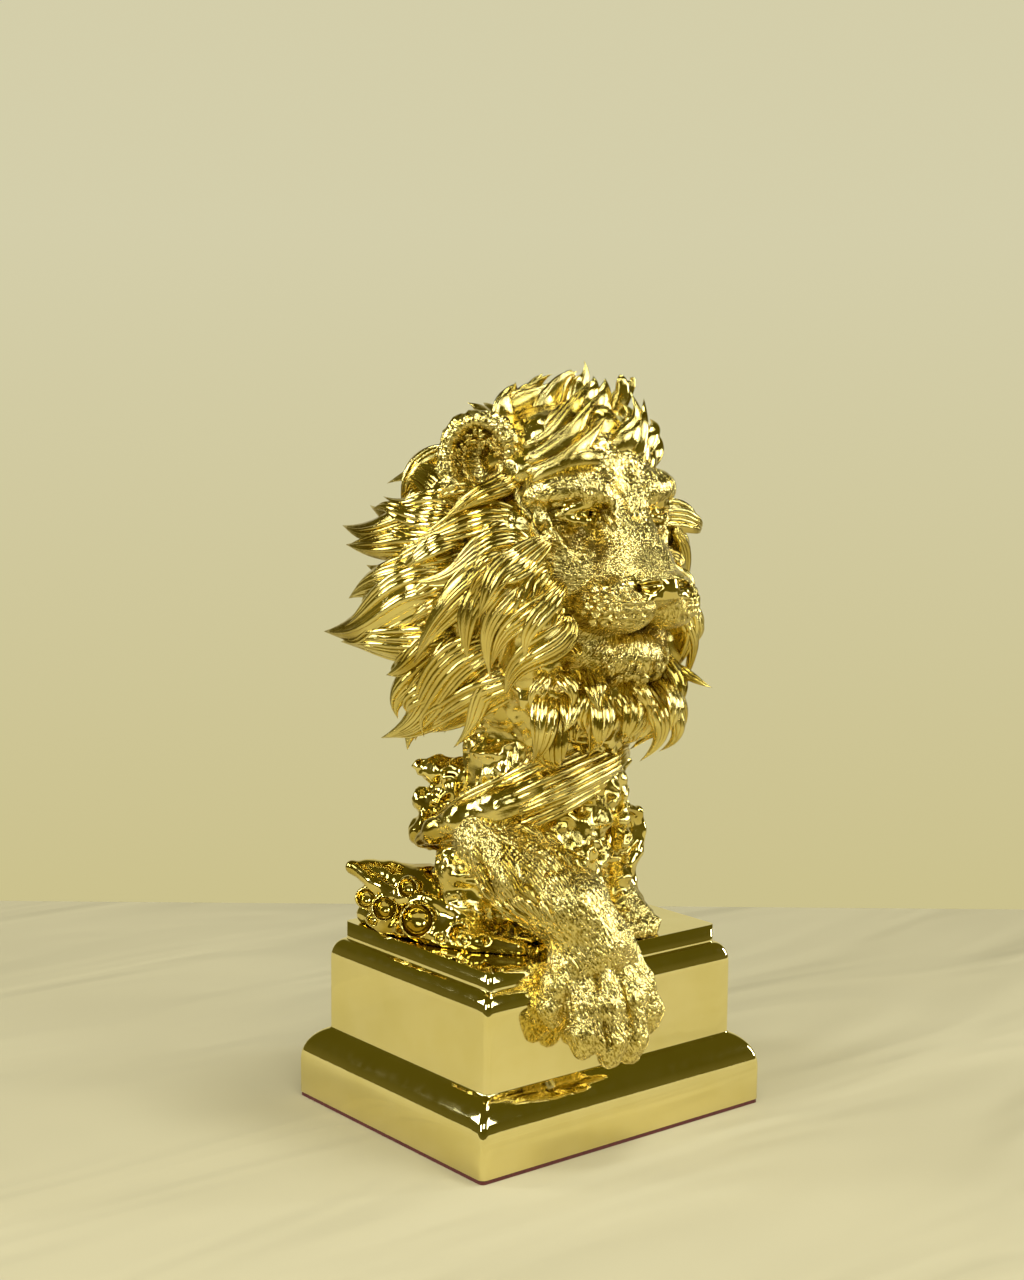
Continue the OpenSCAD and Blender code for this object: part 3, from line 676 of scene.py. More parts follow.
def cast(name, clay, finish, ridge=0.0, flowAxis=(0, 1, -1)):
    # the mass that locks grow from: a clay body with a lightly combed skin
    piece = clay.mesh(name)
    co = figurePlaces(piece)
    heading = unit(np.array(flowAxis, float))
    along = co @ heading
    across = co - along[:, None] * heading
    warp = 2.5 * grain(co / 11, 2)
    comb = grain(np.stack([across[:, 0] / 1.7 + warp, across[:, 2] / 1.7 - warp, along / 13], 1), 6)
    if ridge:
        pushOut(piece, ridge * comb)
    setFlow(piece, np.stack([across[:, 0] * 1.4 + warp * 2, along, across[:, 2] * 1.4], 1))
    piece.data.materials.append(finish)
    return piece


def clayFor(node, step, margin=5):
    # a block of clay a little bigger than this CAD node
    low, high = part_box(node)
    ground = groundZ / mm
    return Clay([low.x / mm - margin, low.y / mm - margin, low.z / mm - ground - margin],
                [high.x / mm + margin, high.y / mm + margin, high.z / mm - ground + margin], step)


def crumple(piece, size, depth, fold=0.5, seed=11):
    # cast folds: sharp creases where two slow waves cross
    co = figurePlaces(piece)
    a = 1 - 2 * np.abs(grain(co / size, seed))
    b = 1 - 2 * np.abs(grain(co / (size * 0.45), seed + 1))
    pushOut(piece, depth * (a - 0.4) + depth * fold * (b - 0.4))


# head
headShape = {"step": 0.86, "furLength": 0.35, "pitDepth": 2.1, "eyeRadius": 6.6, "skullStep": 1.6,
             "beard": 50}


def headClay(front, back, step):
    c = Clay([headX - 48, front, 92], [headX + 48, back, 234], step, mirrorX=headX)
    x = headX
    # skull, neck and cheeks
    c.egg([x, -14, 196], [36, 38, 34], 4)
    c.egg([x, -6, 158], [37, 38, 46], 8)
    c.limb([[x, -8, 130, 33], [x, -10, 100, 30]], 10)
    c.egg([x + 21, -35, 160], [18, 20, 24], 8)
    c.egg([x + 17, -40, 138], [15, 18, 16], 8)
    # steep forehead and brows
    c.egg([x, -43, 201], [21, 13, 17], 8)
    c.egg([x + 16, -45, 197.5], [12, 9.5, 6.5], 5, turn=(0, -10, 20))
    c.egg([x + 29, -36, 196], [8, 9, 7], 5)
    # broad flat bridge
    c.limb([[x + 5, -50, 187, 9], [x + 5, -64, 166, 9], [x + 5, -71, 158, 8]], 5)
    c.limb([[x, -50, 187, 9.5], [x, -64, 166, 9.5], [x, -71, 158, 8.5]], 5)
    c.egg([x, -56, 158], [21, 19, 16], 8)
    # whisker pads
    c.egg([x + 12.5, -66, 150.5], [13.8, 17.5, 12.5], 3)
    c.egg([x + 16, -56, 148], [12.5, 16, 10.5], 4)
    # chin and jaw
    c.egg([x, -60, 127.5], [14, 13, 11.5], 2)
    c.egg([x + 8, -56, 127], [9, 11.5, 9.5], 4)
    c.egg([x + 14, -44, 128], [14, 16, 11], 7)
    # eye sockets under the brow, then the lids around the ball
    c.egg([x + 20.5, -56.5, 187.4], [10, 7, 6], 3, cut=True, turn=(0, 4, 22))
    c.egg([x + 26, -55.5, 180.5], [7, 5.5, 6], 6, cut=True, turn=(0, 30, 22))
    c.limb([[x + 8.5, -53, 194.5, 3.2], [x + 15, -54, 196.2, 3.8], [x + 23, -51.5, 197.4, 3.8],
            [x + 31, -45, 196, 3.4], [x + 36, -37, 193, 3]], 8)
    c.limb([[x + 12, -51.5, 187, 1.3], [x + 16, -53.4, 189.9, 2.0], [x + 20.5, -54, 190.7, 2.3],
            [x + 25.5, -52, 189.6, 2.1], [x + 30, -47.5, 186.6, 1.5]], 1.4)
    c.limb([[x + 12, -51.5, 186.6, 1.2], [x + 16.5, -53.2, 184.5, 1.7], [x + 20.5, -53.4, 183.9, 1.9],
            [x + 25, -51.5, 184.5, 1.8], [x + 30, -47.5, 186.2, 1.4]], 1.4)
    # the dark crease between lid and brow
    c.limb([[x + 12, -55.5, 192.2, 0.6], [x + 17, -56.6, 193.6, 0.9], [x + 25, -53.8, 193.8, 1.0],
            [x + 32, -47, 191, 0.9]], 1.6, cut=True)
    # the fold that runs down from the eye's inner corner
    c.limb([[x + 10.5, -54.5, 187.5, 1.5], [x + 9.5, -59, 181, 1.4], [x + 10, -63, 175, 0.9]], 2.5,
           cut=True)
    # sharp cheekbone from the eye's outer corner down and in, with a groove behind it
    c.limb([[x + 35, -38, 193, 3], [x + 34.5, -42, 184, 3], [x + 31, -46.5, 176, 2.6],
            [x + 27, -50, 169, 1.8]], 3)
    c.limb([[x + 37, -42, 190, 1.2], [x + 36.5, -45.5, 181, 1.8], [x + 32.5, -51, 172.5, 1.4],
            [x + 28, -54.5, 165, 0.8]], 2.5, cut=True)
    # nose: broad leather with a sharp upper edge, comma nostrils and the groove below
    c.egg([x, -74.5, 160.2], [13.2, 8.6, 4.6], 2.2, turn=(10, 0, 0), square=2.8)
    c.egg([x, -78.5, 157.5], [9, 6, 5.5], 2.5, turn=(20, 0, 0))
    c.egg([x, -77, 155.5], [6.5, 6.5, 6.5], 2)
    c.limb([[x + 14, -71, 160, 1.8], [x + 14, -76, 157.5, 2], [x + 10.5, -80, 154.8, 1.9],
            [x + 5, -82, 153.8, 1.7]], 1.2)
    c.egg([x + 8.4, -84, 158.2], [4.6, 5, 2.2], 1, cut=True, turn=(0, 16, 12))
    c.limb([[x + 12, -82, 158.6, 1.3], [x + 15, -77, 156.8, 1.2], [x + 16.5, -72, 156, 0.8]], 1, cut=True)
    c.limb([[x, -86.5, 156, 1.3], [x, -86, 148, 1.0], [x, -83, 139, 1.1]], 1.5, cut=True)
    # mouth line under the pads, lifting at the corners
    c.limb([[x, -86, 139.6, 1.2], [x + 8, -84, 138.8, 1.3], [x + 16, -79, 138, 1.5],
            [x + 23, -70, 138.6, 1.6], [x + 28, -61, 142, 1.6], [x + 31, -54, 146, 1.2]], 1.8, cut=True)
    # shallow furrow up the forehead
    c.limb([[x, -61, 188, 1.6], [x, -59.5, 200, 3], [x, -56, 214, 2.5]], 6, cut=True)
    return c


def whiskerPits(co):
    # five curved rows of pits on each pad
    depth = np.zeros(len(co))
    for side in (-1, 1):
        for row in range(5):
            for k in range(6):
                # the rows bend round the pad, so the outer pits are met from the side
                turn = math.radians(8 + k * 17 + row % 2 * 8)
                pit = np.array([headX + side * (9 + 14 * math.sin(turn)), -66 - 17 * math.cos(turn),
                                158.5 - row * 3.5 - 1.5 * math.sin(turn)])
                away = co - pit
                d2 = away[:, 0] ** 2 + away[:, 1] ** 2
                near = (d2 < 30) & (np.abs(away[:, 2]) < 4)
                along = -away[near, 0] * side * math.cos(turn) - away[near, 1] * math.sin(turn)
                flat = along ** 2 * 0.4 + away[near, 2] ** 2
                depth[near] -= headShape["pitDepth"] * np.exp(-flat)
    return depth


def headFlow(co):
    # the coat flows back from the nose: across is the angle round the muzzle, along the way from the nose
    dx, dz = co[:, 0] - headX, co[:, 2] - 158
    angle = np.arctan2(dx, dz)
    reach = np.sqrt(dx ** 2 + dz ** 2 + ((co[:, 1] + 84) * 0.9) ** 2)
    return angle, reach


def buildHead():
    # the face is modelled finely; the back of the skull is out of sight under the mane
    head = headClay(-97, -20, headShape["step"]).mesh("head")
    skull = headClay(-25, 50, headShape["skullStep"]).mesh("skull")
    setFlow(skull, figurePlaces(skull))
    skull.data.materials.append(furGold)
    co = figurePlaces(head)
    angle, reach = headFlow(co)
    swirl = 0.16 * grain(co / 14, 3)
    tufts = grain(np.stack([(angle + swirl) * 17, reach / 7.5, np.zeros_like(co[:, 1])], 1), 5)
    fine = grain(np.stack([(angle + swirl) * 26, reach / 3.6, np.zeros_like(co[:, 1])], 1), 9)
    leather = (np.clip((-co[:, 1] - 75) / 3, 0, 1) * np.clip((co[:, 2] - 153) / 2, 0, 1)
               * (np.abs(co[:, 0] - headX) < 16))
    eye = (np.abs(np.abs(co[:, 0] - headX) - 21) < 11) & (co[:, 1] < -46) & (np.abs(co[:, 2] - 187.5) < 6.5)
    long = np.clip((reach - 20) / 60, 0.25, 1.6)
    quiet = 1 - np.maximum(leather, eye * 0.9)
    pushOut(head, quiet * headShape["furLength"] * (tufts * long + 0.45 * fine) + whiskerPits(co))
    setFlow(head, np.stack([(angle + swirl) * 46, reach / 2.4, co[:, 1] * 0.15], 1))
    head.data.materials.append(furGold)
    head.data.materials.append(plateGold)
    smoothFaces = np.zeros(len(head.data.polygons), np.int32)
    centres = np.zeros(len(head.data.polygons) * 3)
    head.data.polygons.foreach_get("center", centres)
    centres = inFigure(centres.reshape(-1, 3))
    isNose = ((centres[:, 1] < -75.5) & (np.abs(centres[:, 2] - 157) < 4.2)
              & (np.abs(centres[:, 0] - headX) < 15))
    isLid = ((centres[:, 1] < -44) & (np.abs(centres[:, 2] - 187.3) < 3.9)
             & (np.abs(np.abs(centres[:, 0] - headX) - 20.5) < 8.5))
    smoothFaces[isNose | isLid] = 1
    head.data.polygons.foreach_set("material_index", smoothFaces)
    parts = [head, skull] + [eyeball(side) for side in (-1, 1)]
    roots = []
    for side in (-1, 1):
        # cheeks and temples: rows that lengthen towards the mane
        for row in range(9):
            for k in range(13):
                a = math.radians(-28 + k * 14 + rng.uniform(-4, 4))
                r = 40 + row * 5 + rng.uniform(-2, 2)
                spot = [headX + side * (r * math.cos(a) * 0.72 + 2), -70 + r * 0.62 + rng.uniform(-2, 2),
                        158 - r * math.sin(a) * 0.9]
                if 112 < spot[2] < 196 and abs(spot[0] - headX) > 19:
                    roots.append(spot)
    for _ in range(headShape["beard"]):
        # beard on the chin
        roots.append([headX + rng.uniform(-15, 15), -66 + rng.uniform(-8, 14), 126 + rng.uniform(-10, 5)])

    def comb(p):
        # back from the nose and down
        away = unit(np.array([p[0] - headX, (p[1] + 84) * 0.6, p[2] - 160]))
        return away + np.array([0, 0.25, -0.45])

    def length(p):
        far = np.linalg.norm(np.array(p) - [headX, -84, 158])
        grow = min(max((far - 30) / 40, 0), 1)
        return 6 + 9 * grow, 2.0 + 2.8 * grow, 1.3 + 1.3 * grow

    parts.append(layTufts("cheekHair", head, roots, comb, length, furGold))
    return joined("head", parts)


def eyeball(side):
    # a polished ball with a raised iris ring and a drilled pupil
    bm = bmesh.new()
    bmesh.ops.create_uvsphere(bm, u_segments=40, v_segments=28, radius=headShape["eyeRadius"])
    look = Vector((side * 0.12, -1, -0.02)).normalized()
    for v in bm.verts:
        off = v.co.normalized().angle(look)
        if off < 0.19:
            v.co *= 0.80
        elif 0.46 < off < 0.60:
            v.co *= 0.93
    place = Matrix.Translation(Vector((headX + side * 20.5, -47.0, 187.3)))
    bm.transform(Matrix.Translation((0, 0, groundZ)) @ Matrix.Scale(mm, 4) @ place)
    mesh = bpy.data.meshes.new("eye")
    bm.to_mesh(mesh)
    bm.free()
    mesh.polygons.foreach_set("use_smooth", [True] * len(mesh.polygons))
    mesh.materials.append(plateGold)
    piece = bpy.data.objects.new("eye", mesh)
    bpy.context.scene.collection.objects.link(piece)
    return piece


# ears
earShape = {"centre": (41, -9, 208), "turn": 55, "step": 0.7, "hairs": 90}


def earPlace(p, side):
    a = math.radians(earShape["turn"])
    u = p[0] * math.cos(a) - p[1] * math.sin(a) + earShape["centre"][0]
    v = p[0] * math.sin(a) + p[1] * math.cos(a) + earShape["centre"][1]
    return [headX + side * u, v, p[2] + earShape["centre"][2]]


def buildEar(name, side):
    c = clayFor(name + "_ear", earShape["step"], 4)
    spin = (0, 0, side * earShape["turn"] if side > 0 else 180 - earShape["turn"])
    rim = []
    for i in range(14):
        a = math.radians(-62 + i * 23.5)
        thick = 3.4 if i in (0, 13) else 4.3 + 0.5 * math.sin(i * 1.7)
        rim.append(earPlace([15 * math.cos(a), 0.8 * math.sin(2 * a), 17 * math.sin(a)], side) + [thick])
    c.limb(rim, 2.5)
    c.egg(earPlace([-1, 5, -3], side), [14.5, 7, 16], 4, turn=spin)
    c.egg(earPlace([-2, 9, -5], side), [11, 8, 14], 4, turn=spin)
    c.egg(earPlace([1, -6, 1], side), [10.2, 13, 13.2], 2.5, cut=True, turn=spin)
    c.egg(earPlace([2, -1, -4], side), [6, 6.5, 8.5], 2, cut=True, turn=spin)
    ear = c.mesh(name + "Ear")
    co = figurePlaces(ear)
    middle = np.array(earPlace([0, -2, 0], side))
    off = co - middle
    angle = np.arctan2(off[:, 2], np.hypot(off[:, 0], off[:, 1]) * np.sign(off[:, 0] + 0.01))
    spot = grain(np.stack([angle * 16, np.linalg.norm(off, axis=1) / 2.6, off[:, 1] * 0.2], 1), 3)
    fine = grain(co / 0.9, 8)
    pushOut(ear, 0.45 * spot + 0.18 * fine)
    setFlow(ear, np.stack([angle * 14, np.linalg.norm(off, axis=1) * 0.35, off[:, 1] * 0.3], 1))
    ear.data.materials.append(furGold)
    hairs = []
    for _ in range(earShape["hairs"]):
        a = rng.uniform(-70, 250)
        r = rng.uniform(0.66, 0.98)
        ca, sa = math.cos(math.radians(a)), math.sin(math.radians(a))
        root = [14.5 * ca * r, -1.5 + 6 * (1 - r), 16.5 * sa * r]
        tip = [14.5 * ca * (r - 0.34), -0.5 + 6 * (1 - r) + 1.5, 16.5 * sa * (r - 0.34) - 1.5]
        mid = [(root[n] + tip[n]) / 2 - (1.4 if n == 1 else 0) for n in range(3)]
        hairs.append([earPlace(root, side), earPlace(mid, side), earPlace(tip, side), 1.7, 1.3, 2])
    hairy = growLocks(name + "EarHair", hairs, earPlace([0, 20, 0], side), strandGold, steps=8,
                      look=dict(lockLook, bodySides=6, strandSides=5))
    return joined(name + "Ear", [ear, hairy])


# crest
crestLocks = [
    # swept across the front from the right temple
    [[-32, -32, 209], [-17, -43, 217], [6, -37, 238], 14, 9],
    [[-29, -26, 214], [-14, -38, 224], [3, -34, 241], 12, 8],
    [[-34, -36, 204], [-18, -47, 210], [2, -45, 227], 12, 8],
    [[-24, -43, 204], [-9, -50, 209], [9, -47, 223], 11, 7],
    [[-20, -45, 201], [-11, -50, 205], [-2, -51, 212], 8, 5],
    [[-32, -38, 199], [-26, -45, 205], [-16, -48, 209], 8, 5],
    # curl over the left brow
    [[2, -46, 206], [13, -49, 220], [19, -40, 238], 13, 8],
    [[9, -46, 204], [20, -47, 214], [27, -39, 229], 12, 8],
    [[17, -46, 202], [28, -43, 211], [33, -34, 224], 11, 7],
    [[24, -40, 200], [34, -36, 207], [38, -30, 218], 10, 7],
    # points along the top
    [[-28, -10, 210], [-26, -11, 227], [-20, -10, 240], 15, 9],
    [[-22, -2, 214], [-12, -6, 231], [4, -10, 243], 17, 9],
    [[-6, -10, 220], [4, -9, 235], [13, -12, 246], 16, 9],
    [[6, -18, 222], [12, -16, 235], [16, -14, 245], 14, 9],
    [[12, -22, 220], [19, -22, 233], [22, -21, 243], 14, 8],
    [[20, -18, 216], [27, -18, 228], [30, -18, 238], 13, 8],
    [[-16, 2, 216], [-10, 6, 230], [-7, 5, 241], 14, 8], [[-2, -2, 218], [2, 2, 234], [4, 0, 245], 14, 8],
    [[26, -6, 214], [25, -8, 228], [24, -10, 239], 14, 8],
    [[14, 4, 218], [14, 10, 232], [16, 14, 242], 14, 8],
    [[-4, 12, 216], [-2, 22, 226], [-2, 34, 232], 14, 8],
    [[16, 14, 214], [18, 24, 222], [20, 36, 226], 14, 8],
    [[-12, 10, 216], [-12, 20, 226], [-14, 30, 232], 13, 8]]


crestLook = {"step": 1.1, "ridge": 0.5, "fill": 26}


def buildCrest():
    low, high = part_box("crest_locks")
    c = Clay([low.x / mm - 3, low.y / mm - 3, 184], [high.x / mm + 3, high.y / mm + 3, 236],
             crestLook["step"])
    c.limb([[headX - 12, -12, 215, 15], [headX + 12, -12, 215, 15]], 8)
    c.limb([[headX, -12, 215, 16], [headX, 12, 210, 16]], 8)
    c.limb([[-24, -8, 208, 10], [-15, -24, 216, 11], [6, -31, 220, 11], [22, -29, 214, 11],
            [31, -23, 206, 9], [35, -20, 198, 7]], 6)
    c.limb([[-30, -26, 204, 7], [-16, -38, 209, 7], [4, -42, 210, 7], [20, -38, 208, 7],
            [30, -30, 202, 7]], 5)
    c.limb([[-20, 4, 206, 9], [4, 12, 212, 11], [26, 6, 206, 9]], 6)
    body = cast("crestBody", c, strandGold, ridge=crestLook["ridge"], flowAxis=(0.5, -0.5, 1))
    more = fillLocks(crestLocks, crestLook["fill"], width=(6, 9), centre=(headX, -10, 190), sink=1.0,
                     length=(0.7, 0.95))
    hair = growLocks("crestHair", crestLocks + more, [headX, -150, 200], strandGold)
    return joined("crest", [body, hair])


# mane
upperLocks = [
    [[28, -20, 206], [46, -22, 195], [60, -7, 182], 9, 6],
    [[34, 1, 191], [46, 14, 196], [46, 52, 196], 13, 8],
    [[38, -4, 184], [50, 18, 187], [51, 58, 186], 14, 8],
    [[42, -3, 175], [57, 25, 180], [61, 65, 177], 16, 9],
    [[44, -6, 169], [60, 22, 171], [64, 58, 169], 14, 8],
    [[44, -12, 164], [60, 10, 163], [64, 42, 161], 15, 9],
    [[40, -34, 186], [52, -14, 182], [62, 12, 172], 13, 7],
    [[40, -42, 172], [54, -24, 168], [66, 6, 156], 14, 7]]
lowerLocks = [
    [[44, -12, 156], [64, 16, 157], [68, 50, 146], 18, 9],
    [[44, -9, 147], [67, 18, 144], [71, 65, 130], 22, 11],
    [[44, -12, 137], [64, 17, 129], [68, 56, 126], 16, 9],
    [[42, -46, 170], [60, -20, 152], [66, 4, 122], 16, 8],
    [[40, -54, 178], [54, -38, 158], [60, -20, 128], 12, 7],
    [[37, -57, 160], [47, -49, 147], [54, -33, 122], 12, 7],
    [[35, -61, 145], [44, -53, 132], [48, -35, 110], 12, 7],
    [[42, -35, 132], [56, -2, 110], [61, 35, 85], 20, 10],
    [[46, -6, 135], [60, 14, 113], [60, 24, 95], 13, 8],
    [[38, -43, 116], [51, -8, 102], [53, 30, 88], 15, 8]]
farLock = [[[36, -32, 180], [56, -38, 182], [76, -31, 177], 14, 8]]
maneCentre = (headX, -8, 165)
maneLook = {"upperFill": 44, "lowerFill": 60, "backFill": 40, "broad": 1.25, "farTuck": 0.88, "step": 1.25,
            "backStep": 1.6, "ridge": 0.6, "backRidge": 0.8}


def tuckOf(side):
    # the far side of the mane stands out a little less
    return side if side < 0 else side * maneLook["farTuck"]


def mirroredBalls(balls, side):
    return [[headX + tuckOf(side) * b[0]] + list(b[1:]) for b in balls]


def buildUpperMane(sideName, side, heroes):
    name = sideName + "UpperMane"
    c = clayFor(sideName + "_upper_mane", maneLook["step"])
    for chain in ([[24, 0, 200, 11], [26, 14, 190, 17], [30, 10, 176, 19], [32, -6, 168, 17]],
                  [[30, -16, 192, 11], [34, -26, 180, 10], [36, -34, 170, 9]],
                  [[28, 22, 182, 17], [26, 20, 168, 21]],
                  [[26, 20, 196, 13], [30, 24, 182, 14], [34, 20, 168, 14]]):
        c.limb(mirroredBalls(chain, side), 5)
    body = cast(name + "Body", c, strandGold, maneLook["ridge"], (side * 0.4, 1, -0.1))
    more = fillLocks(heroes, maneLook["upperFill"], centre=(0, -8, 165), width=(7, 12), droop=0.5)
    locks = sideways(broader(heroes, maneLook["broad"]) + more, tuckOf(side))
    hair = growLocks(name + "Hair", locks, maneCentre, strandGold)
    return joined(name, [body, hair])


def buildLowerMane(sideName, side):
    name = sideName + "LowerMane"
    c = clayFor(sideName + "_lower_mane", maneLook["step"])
    for chain in ([[32, -10, 158, 18], [34, -6, 142, 19], [30, -10, 124, 19], [26, -14, 106, 16]],
                  [[37, -37, 160, 11], [38, -41, 142, 11], [36, -41, 126, 12], [32, -30, 113, 10]],
                  [[34, -12, 150, 16], [37, -36, 152, 10]], [[31, -12, 124, 17], [35, -36, 122, 11]],
                  [[30, 14, 152, 19], [32, 14, 134, 19], [28, 8, 114, 16]]):
        c.limb(mirroredBalls(chain, side), 5)
    body = cast(name + "Body", c, strandGold, maneLook["ridge"], (side * 0.4, 0.7, -0.5))
    more = fillLocks(lowerLocks, maneLook["lowerFill"], centre=(0, -8, 150), width=(7, 13), droop=0.5)
    locks = sideways(broader(lowerLocks, maneLook["broad"]) + more, tuckOf(side))
    hair = growLocks(name + "Hair", locks, maneCentre, strandGold)
    return joined(name, [body, hair])


def buildBackMane():
    c = clayFor("back_mane", maneLook["backStep"])
    c.limb([[headX, 14, 206, 19], [headX, 24, 186, 25], [headX, 26, 160, 29], [headX, 24, 134, 29],
            [headX, 14, 108, 25], [headX, 8, 92, 17]], 6)
    for side in (-1, 1):
        c.limb([[headX + side * 14, 22, 190, 17], [headX + side * 18, 26, 160, 21],
                [headX + side * 16, 22, 128, 21]], 6)
    body = cast("backManeBody", c, strandGold, ridge=maneLook["backRidge"], flowAxis=(0, 0.5, -1))
    heroes = []
    for row in range(7):
        for col in range(-2, 3):
            lean = math.radians((col + row % 2 / 2 - 0.25) * 26)
            z = 208 - row * 18
            reach = 51 + 3 * math.sin(math.radians(row * 45))
            heroes.append([[headX + 24 * math.sin(lean), 20 + 18 * math.cos(lean), z],
                           [headX + (reach - 6) * math.sin(lean), 10 + (reach - 4) * math.cos(lean), z - 4],
                           [headX + (reach + 6) * math.sin(lean), 8 + (reach + 6) * math.cos(lean), z - 22],
                           21, 13])
    more = fillLocks(heroes, maneLook["backFill"], centre=(headX, -10, 165), width=(7, 12))
    hair = growLocks("backManeHair", heroes + more, [headX, -10, 165], strandGold)
    return joined("backMane", [body, hair])


# throat
throatLocks = [[[0, -44, 126], [0, -61, 104], [2, -54, 80], 15, 9],
               [[12, -42, 128], [17, -60, 106], [13, -52, 84], 14, 8],
               [[22, -42, 132], [30, -56, 108], [26, -44, 86], 14, 8],
               [[28, -40, 132], [40, -44, 108], [38, -32, 88], 14, 8],
               [[8, -46, 124], [6, -58, 112], [10, -58, 94], 12, 8],
               [[20, -44, 128], [22, -58, 114], [18, -56, 96], 12, 8]]


throatLook = {"step": 1.2, "ridge": 0.6, "foldSize": 12, "foldDepth": 2.4, "longFill": 26, "shortFill": 36,
              "splay": 0.7}


def buildThroat():
    c = clayFor("throat_ruff", throatLook["step"])
    c.limb([[-27, -37, 113, 14], [-12, -42, 116, 12], [headX, -44, 114, 13], [20, -42, 116, 12],
            [32, -34, 118, 12]], 6)
    c.limb([[-16, -30, 104, 13], [24, -30, 104, 13]], 8)
    c.limb([[headX, -34, 92, 13], [headX, -32, 106, 14]], 8)
    c.limb([[-26, -24, 104, 10], [-14, -30, 94, 10], [headX, -34, 90, 10], [22, -30, 94, 10]], 6)
    body = cast("throatBody", c, strandGold, ridge=throatLook["ridge"], flowAxis=(0, 0.2, -1))
    crumple(body, throatLook["foldSize"], throatLook["foldDepth"], fold=0.6, seed=51)
    both = sideways(throatLocks, -1) + sideways(throatLocks[1:], maneLook["farTuck"])
    middle = (headX, -20, 110)
    more = fillLocks(both, throatLook["longFill"], centre=middle, width=(9, 15), length=(0.7, 1.0),
                     jitter=4.5, sink=1)
    more += fillLocks(both, throatLook["shortFill"], centre=middle, width=(5, 11), length=(0.25, 0.5),
                      jitter=6, sink=0.5)
    look = dict(lockLook, splay=throatLook["splay"])
    hair = growLocks("throatHair", more, middle, strandGold, look=look)
    return joined("throat", [body, hair])


# chest, sweep and crags
chestLook = {"step": 1.0, "ridge": 0.6, "foldSize": 11, "foldDepth": 1.9}
sweepLook = {"step": 0.9, "ridge": 0.4}
cragLook = {"step": 0.8, "foldSize": 9, "foldDepth": 1.5}


def buildChest():
    c = clayFor("chest_casting", chestLook["step"])
    c.limb([[1, -6, 84, 33], [1, -7, 66, 32]], 8)
    c.limb([[1, -7, 68, 32], [-2, -2, 44, 31], [-4, 4, 16, 36]], 8)
    c.limb([[0, -20, 62, 18], [-4, -24, 40, 18], [-6, -22, 16, 22]], 7)
    c.limb([[-26, -8, 50, 15], [-34, -4, 30, 16], [-34, 0, 12, 19]], 7)
    c.limb([[24, 0, 44, 13], [30, 6, 26, 15], [32, 8, 10, 17]], 7)
    c.limb([[-16, 24, 40, 15], [10, 26, 26, 17], [-2, 26, 10, 21]], 7)
    # ropes of hair left standing between deep hollows under the sweep
    for path, size in (([[14, -38, 66], [8, -42, 54], [-2, -44, 42], [-14, -44, 30]], 3.2),
                       ([[24, -32, 66], [20, -36, 52], [12, -40, 38], [2, -44, 24]], 3.6),
                       ([[33, -22, 60], [30, -28, 44], [24, -34, 28], [16, -40, 12]], 3.8)):
        c.limb([p + [size] for p in path], 3)
    for x, y, z, size in ((-4, -41, 61, 4.6), (3, -43, 45, 4.4), (19, -39, 59, 4.2), (16, -41, 43, 4.6),
                          (8, -45, 28, 4.8), (29, -31, 52, 4.2), (24, -36, 37, 4.6), (-28, -30, 62, 4.4),
                          (36, -18, 46, 4), (-10, -43, 50, 3.6)):
        c.egg([x, y, z], [size, size * 1.4, size * 1.5], 2.5, cut=True, turn=(0, 28, 0))
    c.field[:, :, c.axes[2] < 0] = 8
    piece = cast("chest", c, strandGold, ridge=chestLook["ridge"], flowAxis=(0.2, 0.3, -1))
    crumple(piece, chestLook["foldSize"], chestLook["foldDepth"], fold=0.7)
    return piece


sweepPath = [[35, -19, 82, 4], [27, -27, 80, 6], [14, -33, 78, 9], [-4, -36, 74, 10], [-20, -33, 68, 11],
             [-32, -22, 60, 11], [-40, -6, 53, 9], [-44, 10, 46, 6], [-45, 20, 40, 3]]


def pathRail(points, wideHint, steps=40):
    # a rail along a free path; its flat side faces away from the hint's sweep
    path = smoothPath(points, steps)
    heading = unit(np.gradient(path[:, :3], axis=0))
    hint = np.array(wideHint, float)
    across = unit(hint - (heading @ hint)[:, None] * heading)
    return path[:, :3], across, np.cross(across, heading)


def buildSweep():
    c = clayFor("shoulder_sweep", sweepLook["step"])
    c.limb([[p[0], p[1] + 2, p[2], p[3] * 0.9] for p in sweepPath], 4)
    body = cast("sweepBody", c, strandGold, ridge=sweepLook["ridge"], flowAxis=(-0.8, 0.4, -0.3))
    specs, rails = [], []
    for lift, back, first, last, wide, thick in (
            (0.15, 0, 0, 9, 19, 14), (0.8, -1, 0, 8, 9, 8), (-0.75, -2, 1, 9, 10, 9), (-0.2, -5, 0, 8, 9, 8),
            (0.45, -5, 1, 9, 9, 8), (1.05, 1, 2, 9, 7, 6), (-1.0, 1, 0, 7, 7, 6), (0.1, -8, 1, 7, 8, 7)):
        part = [[p[0], p[1] + back * p[3] / 9, p[2] + lift * p[3]] for p in sweepPath[first:last]]
        rails.append(pathRail(part, (0, 0, 1), 36))
        specs.append([part[0], part[1], part[-1], wide, thick, 5 if wide > 12 else 3])
    hair = growLocks("sweepHair", specs, None, strandGold, rails=rails)
    return joined("sweep", [body, hair])


